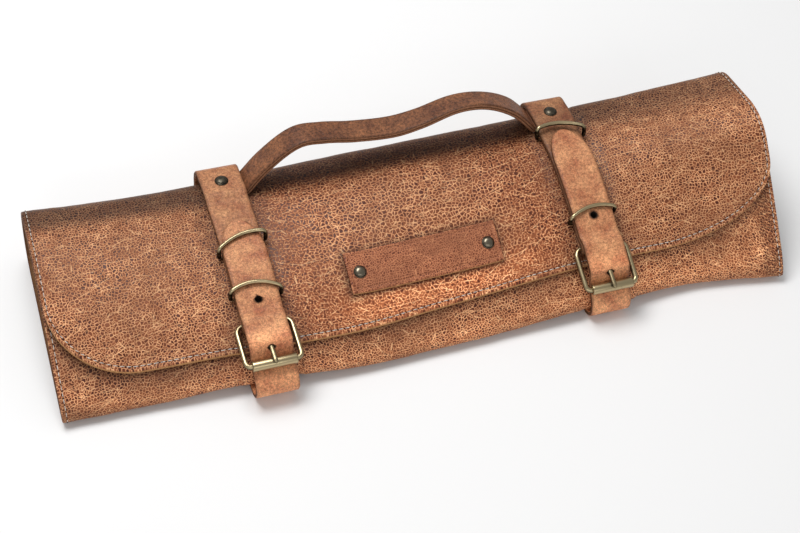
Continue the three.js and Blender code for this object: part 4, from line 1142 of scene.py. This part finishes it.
def rounded_loop(half, low, high, low_radius, high_radius, steps, straights):
    """Rounded rectangle as (u, v, outward u, outward v), from its low right corner round."""
    corners = ((half, low, low_radius, -0.5), (half, high, high_radius, 0.0),
               (-half, high, high_radius, 0.5), (-half, low, low_radius, 1.0))
    spots = []
    for u, v, radius, turn in corners:
        u, v = u - math.copysign(radius, u), v + (radius if v == low else -radius)
        for angle in (turn + np.linspace(0, 0.5, steps)) * math.pi:
            spots.append((u + radius * math.cos(angle), v + radius * math.sin(angle),
                          math.cos(angle), math.sin(angle)))
    loop = []
    for k, spot in enumerate(spots):
        loop.append(spot)
        if (k + 1) % steps == 0:
            nxt = spots[(k + 1) % len(spots)]
            for share in np.linspace(0, 1, straights + 1)[1:-1]:
                loop.append(tuple(np.array(spot) * (1 - share) + np.array(nxt) * share))
    return loop


def wire_loop(name, loop, radius_at, place, outward, material):
    """A closed wire. radius_at gives the wire's radius at a spot, place puts (u, v, w) in space, and
    outward says how far a side faces away from the roll."""
    points, rub = [], []
    for u, v, out_u, out_v in loop:
        radius = radius_at(u, v)
        for k in range(WIRE_SIDES):
            angle = 2 * math.pi * k / WIRE_SIDES
            points.append(place(u + radius * math.cos(angle) * out_u, v + radius * math.cos(angle) * out_v,
                                radius * math.sin(angle), u, v))
            rub.append(wear_and_light_share(outward(math.cos(angle) * out_v, math.sin(angle))))
    return face_out(make_piece(name, points, skin(len(loop), WIRE_SIDES, closed=True), [material], rub=rub))


KEEPERS = (
    ("lower", "left", 0.67, 2.5, 4.5, -2.5),
    ("upper", "left", 0.99, 2.0, 4.0, 7.0),
    ("lower", "right", 0.72, 2.0, 4.0, 2.0),
    ("upper", "right", 1.32, 1.5, 4.0, -5.0),
)
for level_name, side, share, lean, arch, skew in KEEPERS:
    at = layouts[side]
    base = at["outline"].at(share * at["run"])
    way, out = at["outline"].frame(share * at["run"])
    low = GAP + KEEPER_FOOT / 2
    high = BILLET_LIFT + BELT_THICKNESS + GAP + KEEPER_WIRE / 2
    half = BELT_WIDTH / 2 + KEEPER_SIDE + KEEPER_WIRE / 2

    def keeper_place(u, v, w, u_on, v_on):
        rise = (v_on - low) / (high - low)
        bow = arch * rise * (1 - (u_on / half) ** 2)
        shift = lean * rise + bow + skew * u_on / half / 2
        return (at["x"] + u, *(base + out * v + way * (shift + w)))

    def keeper_radius(u, v):
        thin = float(ease(v, low, low + KEEPER_WIRE))
        return KEEPER_FOOT / 2 + (KEEPER_WIRE + PLATING - KEEPER_FOOT) / 2 * thin

    loop = rounded_loop(half, low, high, KEEPER_WIRE, KEEPER_WIRE, 7, 10)
    keeper = wire_loop(f"keeper_wire_{level_name}_{side}", loop, keeper_radius, keeper_place,
                       lambda v, w: v, antique_brass)
    settle(keeper, "antique_brass", f"keeper_{level_name}_{side}")

# %% Buckle frames, rollers and prongs
for side, at in layouts.items():
    def frame_place(u, v, w, u_on, v_on):
        return (at["x"] + u, *(at["heel_place"] + at["along"] * v + at["face"] * w))

    def frame_radius(u, v):
        return HEEL_BAR / 2 + (FRAME_WIRE + PLATING - HEEL_BAR) / 2 * float(ease(v, 0, HEEL_CORNER))

    loop = rounded_loop(FRAME_WIDTH / 2, 0, FRAME_LENGTH, HEEL_CORNER, ROLLER_CORNER, 9, 10)
    buckle = wire_loop(f"buckle_wire_{side}", loop, frame_radius, frame_place,
                       lambda v, w: w, antique_brass)
    settle(buckle, "antique_brass", f"buckle_frame_{side}")
    path, radii = prong_path(at)
    prong = rod_mesh(f"prong_wire_{side}", (at["x"], path), radii, 16, antique_brass, PRONG_FLAT)
    settle(prong, "antique_brass", f"buckle_prong_{side}")

    length, bore, outside = FRAME_WIDTH - 2 * ROLLER_CORNER, FRAME_WIRE / 2 + GAP, ROLLER_DIAMETER / 2
    profile = [(bore, -0.5 * length), (outside - 0.5, -0.5 * length), (outside - 0.1, -0.5 * length + 0.25),
               (outside, -0.5 * length + 0.7), (outside, 0.5 * length - 0.7),
               (outside - 0.1, 0.5 * length - 0.25), (outside - 0.5, 0.5 * length), (bore, 0.5 * length)]
    turns = 40
    points = [(at["x"] + end, at["roller_place"][0] + r * math.cos(2 * math.pi * k / turns),
               at["roller_place"][1] + r * math.sin(2 * math.pi * k / turns))
              for k in range(turns) for r, end in profile]
    rub = [0.35 if r < outside else 0.62 for _ in range(turns) for r, _ in profile]
    roller = face_out(make_piece(f"roller_tube_{side}", points, skin(turns, len(profile), closed=True),
                                 [antique_brass], rub=rub))
    settle(roller, "antique_brass", f"buckle_roller_{side}")

# %% [markdown]
# The label is a small plate of thin leather, cut out and riveted to the flap. A flat box could stand for it,
# but it lies on the flap's curve, so it is a sheet with rounded edges like the wrap.

# %% The label
LABEL_RIVET, LABEL_RIVET_DOME, LABEL_RIVET_INSET, LABEL_BEVEL = 8.0, 2.0, 7.0, 0.8
LABEL_TONE = 1.16
columns = np.linspace(LABEL_PLACE - LABEL_LENGTH / 2, LABEL_PLACE + LABEL_LENGTH / 2, 66)
rows = np.linspace(-LABEL_HEIGHT / 2, LABEL_HEIGHT / 2, 22)


def label_grid(lift, trim):
    """The label's points at a lift off the roll, with its lower side trimmed back."""
    across = label_middle + rows + trim * (0.5 - rows / LABEL_HEIGHT)
    return np.array([np.column_stack([np.full(len(rows), x), outline_at(x).lifted(across, lift)])
                     for x in columns])


label_hide = np.array([[(x, r, 0) for r in rows] for x in columns])
points, faces, kinds, source = sheet_solid(label_grid(GAP + LABEL_THICKNESS, LABEL_BEVEL),
                                           label_grid(GAP, 0.0))
flat = label_hide.reshape(-1, 3)
label_rim = np.minimum(LABEL_LENGTH / 2 - np.abs(flat[:, 0] - LABEL_PLACE),
                       LABEL_HEIGHT / 2 - np.abs(flat[:, 1]))
label = make_piece("label_plate", points, faces, [label_leather, flesh_side, cut_edge, burnished_edge], kinds,
                   hide=flat[source] * MM, tone=np.full(len(source), LABEL_TONE), rim=label_rim[source] * MM)
settle(label, "label_leather", "label")

# %% [markdown]
# Four rivets hold the handle and the label. They are one turned part in two sizes, so the head is turned
# once and Geometry Nodes set it on a point that carries the way its rivet faces.

# %% Rivets
RIVET_PROFILE = ((1.0, -0.35), (1.03, 0.05), (1.0, 0.22), (0.93, 0.34), (0.88, 0.34),
                 (0.84, 0.30), (0.78, 0.52), (0.62, 0.76), (0.42, 0.92), (0.2, 0.98))
RIVET_TURNS = 48


def turned_head():
    """One head of radius 1 and height 1: a turned rim, a dark groove and a dome."""
    count = len(RIVET_PROFILE)
    angles = [2 * math.pi * k / RIVET_TURNS for k in range(RIVET_TURNS)]
    points = [(r * math.cos(a), r * math.sin(a), rise) for a in angles for r, rise in RIVET_PROFILE]
    faces = []
    for k in range(RIVET_TURNS):
        this, other = k * count, (k + 1) % RIVET_TURNS * count
        faces += [(this + i, this + i + 1, other + i + 1, other + i) for i in range(count - 1)]
    faces.append([k * count for k in range(RIVET_TURNS)])
    faces.append([k * count + count - 1 for k in range(RIVET_TURNS)][::-1])
    mesh = bpy.data.meshes.new("rivet_head")
    mesh.from_pydata(points, [], faces)
    rub = [0.0 if 0.8 < r < 0.95 else 1.0 for _ in angles for r, _ in RIVET_PROFILE]
    mesh.attributes.new("rub", "FLOAT", "POINT").data.foreach_set("value", rub)
    head = bpy.data.objects.new("rivet_head", mesh)
    bpy.context.scene.collection.objects.link(head)
    return head


def rivet_tree():
    """A node tree that sets a head on each point, turned to the way that the point faces."""
    tree = bpy.data.node_groups.new("rivet_setting", "GeometryNodeTree")
    face = tree.interface
    face.new_socket("Points", in_out="INPUT", socket_type="NodeSocketGeometry")
    face.new_socket("Head", in_out="INPUT", socket_type="NodeSocketObject")
    for label_text in ("Head Radius", "Dome Height", "Wear"):
        face.new_socket(label_text, in_out="INPUT", socket_type="NodeSocketFloat")
    face.new_socket("Metal", in_out="INPUT", socket_type="NodeSocketMaterial")
    face.new_socket("Rivets", in_out="OUTPUT", socket_type="NodeSocketGeometry")
    given = tree.nodes.new("NodeGroupInput")
    head = add_node(tree, "GeometryNodeObjectInfo", {"Object": given.outputs["Head"]})
    rub = add_node(tree, "GeometryNodeInputNamedAttribute", {"Name": "rub"}, data_type="FLOAT")
    brightness = add_node(tree, "ShaderNodeMath", {0: rub, 1: given.outputs["Wear"]}, operation="MULTIPLY")
    head = add_node(tree, "GeometryNodeStoreNamedAttribute",
                    {"Geometry": head.outputs["Geometry"], "Name": "rub", "Value": brightness},
                    data_type="FLOAT", domain="POINT")
    facing = add_node(tree, "GeometryNodeInputNamedAttribute", {"Name": "facing"}, data_type="FLOAT_VECTOR")
    turned = add_node(tree, "FunctionNodeAlignEulerToVector", {"Vector": facing}, axis="Z")
    size = add_node(tree, "ShaderNodeCombineXYZ",
                    {0: given.outputs["Head Radius"], 1: given.outputs["Head Radius"],
                     2: given.outputs["Dome Height"]})
    heads = add_node(tree, "GeometryNodeInstanceOnPoints",
                     {"Points": given.outputs["Points"], "Instance": head, "Rotation": turned,
                      "Scale": size})
    heads = add_node(tree, "GeometryNodeRealizeInstances", {0: heads})
    heads = add_node(tree, "GeometryNodeSetMaterial", {0: heads, "Material": given.outputs["Metal"]})
    done = tree.nodes.new("NodeGroupOutput")
    tree.links.new(heads.outputs[0], done.inputs[0])
    return tree


def grow(name, tree, points, facing, **values):
    """The plain mesh that a tree makes on points in millimetres, each with the way the leather faces there.

    The tree's inputs are given by name, with an underscore for each space, and set by identifier."""
    mesh = bpy.data.meshes.new(name)
    edges = [(k, k + 1) for k in range(len(points) - 1)]
    mesh.from_pydata(((np.array(points) + SHIFT) * MM).tolist(), edges, [])
    mesh.attributes.new("facing", "FLOAT_VECTOR", "POINT").data.foreach_set(
        "vector", np.asarray(facing, np.float32).ravel())
    carrier = bpy.data.objects.new(name + "_carrier", mesh)
    bpy.context.scene.collection.objects.link(carrier)
    maker = carrier.modifiers.new("maker", "NODES")
    maker.node_group = tree
    for item in tree.interface.items_tree:
        if item.in_out == "INPUT" and item.name.replace(" ", "_") in values:
            maker[item.identifier] = values[item.name.replace(" ", "_")]
    bpy.context.view_layer.update()
    graph = bpy.context.evaluated_depsgraph_get()
    done = bpy.data.meshes.new_from_object(carrier.evaluated_get(graph))
    bpy.data.objects.remove(carrier)
    done.polygons.foreach_set("use_smooth", [True] * len(done.polygons))
    piece = bpy.data.objects.new(name, done)
    bpy.context.scene.collection.objects.link(piece)
    return piece


rivet_setting = rivet_tree()
one_head = turned_head()


def set_rivet(name, diameter, dome, x, outline, q, lift, brightness, node):
    """A rivet on the leather at length q round the outline, standing for a CAD node."""
    _, out = outline.frame(q)
    rivet = grow(name, rivet_setting, [(x, *outline.lifted(q, lift + 0.1))], [(0, *out)], Head=one_head,
                 Head_Radius=diameter / 2 * MM, Dome_Height=dome * MM, Wear=brightness, Metal=dark_nickel)
    settle(face_out(rivet), "rivet_metal", node)


for side, at in layouts.items():
    set_rivet(f"rivet_belt_{side}", BELT_RIVET, BELT_RIVET_DOME, at["x"], at["outline"], at["handle"],
              belt_lift(at, at["handle"]) + BELT_THICKNESS, 0.2, f"belt_rivet_{side}")
for side, sign in (("left", -1), ("right", 1)):
    x = LABEL_PLACE + sign * (LABEL_LENGTH / 2 - LABEL_RIVET_INSET)
    set_rivet(f"rivet_label_{side}", LABEL_RIVET, LABEL_RIVET_DOME, x, outline_at(x), label_middle,
              GAP + LABEL_THICKNESS, 0.5, f"label_rivet_{side}")
bpy.data.objects.remove(one_head)

# %% [markdown]
# Lockstitches run along the flap's edge and both ends of the sheet, 2.1 mm in. Each stitch is a short bit of
# thread that dips into a needle hole at both ends. Hundreds of them follow a path, which is what Geometry
# Nodes are for: the path is resampled at the stitch length, and a thread and a needle hole are placed on
# each point, turned to the path and to the leather.

# %% The stitch maker
STITCH_LENGTH, THREAD_DIAMETER = 4.0, 0.52


def stitch_tree():
    """A node tree that sets stitches along an edge path whose points carry the leather's direction."""
    tree = bpy.data.node_groups.new("lockstitch", "GeometryNodeTree")
    face = tree.interface
    face.new_socket("Path", in_out="INPUT", socket_type="NodeSocketGeometry")
    for label_text, value in (("Stitch Length", STITCH_LENGTH * MM),
                              ("Thread Diameter", THREAD_DIAMETER * MM)):
        face.new_socket(label_text, in_out="INPUT", socket_type="NodeSocketFloat").default_value = value
    for label_text in ("Thread", "Hole"):
        face.new_socket(label_text, in_out="INPUT", socket_type="NodeSocketMaterial")
    face.new_socket("Stitches", in_out="OUTPUT", socket_type="NodeSocketGeometry")
    given = tree.nodes.new("NodeGroupInput")
    curve = add_node(tree, "GeometryNodeMeshToCurve", {"Mesh": given.outputs["Path"]})
    spaced = add_node(tree, "GeometryNodeResampleCurve",
                      {"Curve": curve, "Length": given.outputs["Stitch Length"]},
                      mode="LENGTH")
    facing = add_node(tree, "GeometryNodeInputNamedAttribute", {"Name": "facing"}, data_type="FLOAT_VECTOR")
    tangent = add_node(tree, "GeometryNodeInputTangent")
    first = add_node(tree, "FunctionNodeAlignEulerToVector", {"Vector": facing}, axis="Z")
    turned = add_node(tree, "FunctionNodeAlignEulerToVector",
                      {"Rotation": first, "Vector": tangent}, axis="X", pivot_axis="Z")
    bead = add_node(tree, "GeometryNodeMeshUVSphere", {"Segments": 8, "Rings": 6, "Radius": 0.5})
    long_side = add_node(tree, "ShaderNodeMath", {0: given.outputs["Stitch Length"], 1: 0.8},
                         operation="MULTIPLY")
    size = add_node(tree, "ShaderNodeCombineXYZ", {0: long_side, 1: given.outputs["Thread Diameter"],
                                                   2: given.outputs["Thread Diameter"]})
    threads = add_node(tree, "GeometryNodeInstanceOnPoints",
                       {"Points": spaced, "Instance": bead, "Rotation": turned,
                        "Scale": size})
    threads = add_node(tree, "GeometryNodeRealizeInstances", {0: threads})
    threads = add_node(tree, "GeometryNodeSetMaterial", {0: threads, "Material": given.outputs["Thread"]})
    # Each needle hole is a small flat dark bead: painted shade where the thread goes into the leather.
    half_way = add_node(tree, "ShaderNodeMath", {0: given.outputs["Stitch Length"], 1: 0.5},
                        operation="MULTIPLY")
    step = add_node(tree, "ShaderNodeVectorMath", {0: tangent, "Scale": half_way},
                    operation="SCALE")
    between = add_node(tree, "GeometryNodeSetPosition", {0: spaced, "Offset": step})
    wide = add_node(tree, "ShaderNodeMath", {0: given.outputs["Thread Diameter"], 1: 1.7},
                    operation="MULTIPLY")
    flat_size = add_node(tree, "ShaderNodeCombineXYZ",
                         {0: wide, 1: wide, 2: given.outputs["Thread Diameter"]})
    holes = add_node(tree, "GeometryNodeInstanceOnPoints",
                     {"Points": between, "Instance": bead, "Rotation": turned,
                      "Scale": flat_size})
    holes = add_node(tree, "GeometryNodeRealizeInstances", {0: holes})
    holes = add_node(tree, "GeometryNodeSetMaterial", {0: holes, "Material": given.outputs["Hole"]})
    both = tree.nodes.new("GeometryNodeJoinGeometry")
    for part in (threads, holes):
        tree.links.new(part.outputs[0], both.inputs[0])
    done = tree.nodes.new("NodeGroupOutput")
    tree.links.new(both.outputs[0], done.inputs[0])
    return tree


lockstitch = stitch_tree()


def stitch_line(name, points, facing):
    """Stitches along points, which lie on the leather, with its outward direction at each."""
    line = grow(name, lockstitch, points, facing, Thread=linen_thread, Hole=needle_dark)
    settle(line, "wrap_leather")


print("stitch length:", STITCH_LENGTH, "mm")

# %% Stitch lines on the wrap
DROP = 0.12


def on_column(i, s):
    """Point and outward direction on the outer face at station i and length s along the hide."""
    lengths = wrap_hide[i, :, 1]
    point = np.array([np.interp(s, lengths, wrap_outer[i, :, k]) for k in range(3)])
    out = np.array([np.interp(s, lengths, out_way[i, :, k]) for k in range(3)])
    return point, out / np.linalg.norm(out)


def on_hide(x, s):
    """Point and outward direction on the outer face, anywhere on the hide."""
    xs = wrap_hide[:, 0, 0]
    i = int(np.clip(np.searchsorted(xs, x) - 1, 0, len(xs) - 2))
    share = (x - xs[i]) / (xs[i + 1] - xs[i])
    (a, out_a), (b, out_b) = on_column(i, s), on_column(i + 1, s)
    out = out_a * (1 - share) + out_b * share
    out /= np.linalg.norm(out)
    return a * (1 - share) + b * share + out * DROP, out


def inset_edge():
    """The flap's edge moved in by the stitch inset, as points on the flat hide."""
    edge = wrap_hide[:, 0, :2]
    way = np.gradient(edge, axis=0)
    way /= np.linalg.norm(way, axis=1, keepdims=True)
    inward = np.column_stack([-way[:, 1], way[:, 0]])
    moved_in = edge + inward * STITCH_INSET
    limit = ROLL_LENGTH / 2 - STITCH_INSET
    return moved_in[np.abs(moved_in[:, 0]) <= limit + 0.01]


limit = ROLL_LENGTH / 2 - STITCH_INSET
edge_path = inset_edge()
top_s = {sign: edge_path[0 if sign < 0 else -1, 1] for sign in (-1, 1)}
flap_line = [on_hide(x, s) for x, s in edge_path]
stitch_line("stitches_flap", [p for p, _ in flap_line], [o for _, o in flap_line])
for side, sign in (("left", -1), ("right", 1)):
    hide_end = outline_at(sign * limit)
    lengths = np.arange(top_s[sign], hide_end.total + flap_start(sign * limit) + 20, 2.0)
    line = [on_hide(sign * limit, s) for s in lengths]
    stitch_line(f"stitches_end_{side}", [p for p, _ in line], [o for _, o in line])

# %% [markdown]
# The photograph is a product shot on white: one large soft light from above and a white surround, with a
# soft shadow under the front. A wide plane is the table, a big area light the softbox, a weaker one lights
# the front, and the world's dim white fills the shadows and gives the metal something to mirror.

# %% Table and light
bpy.ops.mesh.primitive_plane_add(size=8.0, location=(0, 0, -0.1 * MM))
table = bpy.context.object
table.name = "table"
paper, _, paper_shader = new_finish("white_paper", Roughness=0.85)
paper_shader.inputs["Base Color"].default_value = linear("ebebeb")
table.data.materials.append(paper)
table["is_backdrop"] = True


def softbox(name, place, aim, width, height, power):
    """A rectangular soft light that faces a point."""
    data = bpy.data.lights.new(name, "AREA")
    data.shape, data.size, data.size_y, data.energy = "RECTANGLE", width, height, power
    lamp = bpy.data.objects.new(name, data)
    lamp.location = place
    lamp.rotation_mode = "QUATERNION"
    lamp.rotation_quaternion = (Vector(aim) - Vector(place)).to_track_quat("-Z", "Y")
    bpy.context.scene.collection.objects.link(lamp)
    return lamp


softbox("key_light", (-0.35, 0.45, 1.45), (0, 0, 0.03), 1.0, 0.7, 20.5)
softbox("front_light", (-0.3, -1.4, 0.8), (0, 0, 0.03), 1.6, 0.5, 5)
world = bpy.data.worlds.new("studio")
world.use_nodes = True
world.node_tree.nodes["Background"].inputs["Color"].default_value = linear("ffffff")
world.node_tree.nodes["Background"].inputs["Strength"].default_value = 0.40
bpy.context.scene.world = world
# The plain view transform keeps the white table white and the leather's colours as they are written.
bpy.context.scene.view_settings.view_transform = "Standard"
print("lights:", len(bpy.data.lights))

# %% Sizes, and the end
low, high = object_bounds()
print("visual box:", [round(v, 4) for v in (*low, *high)])
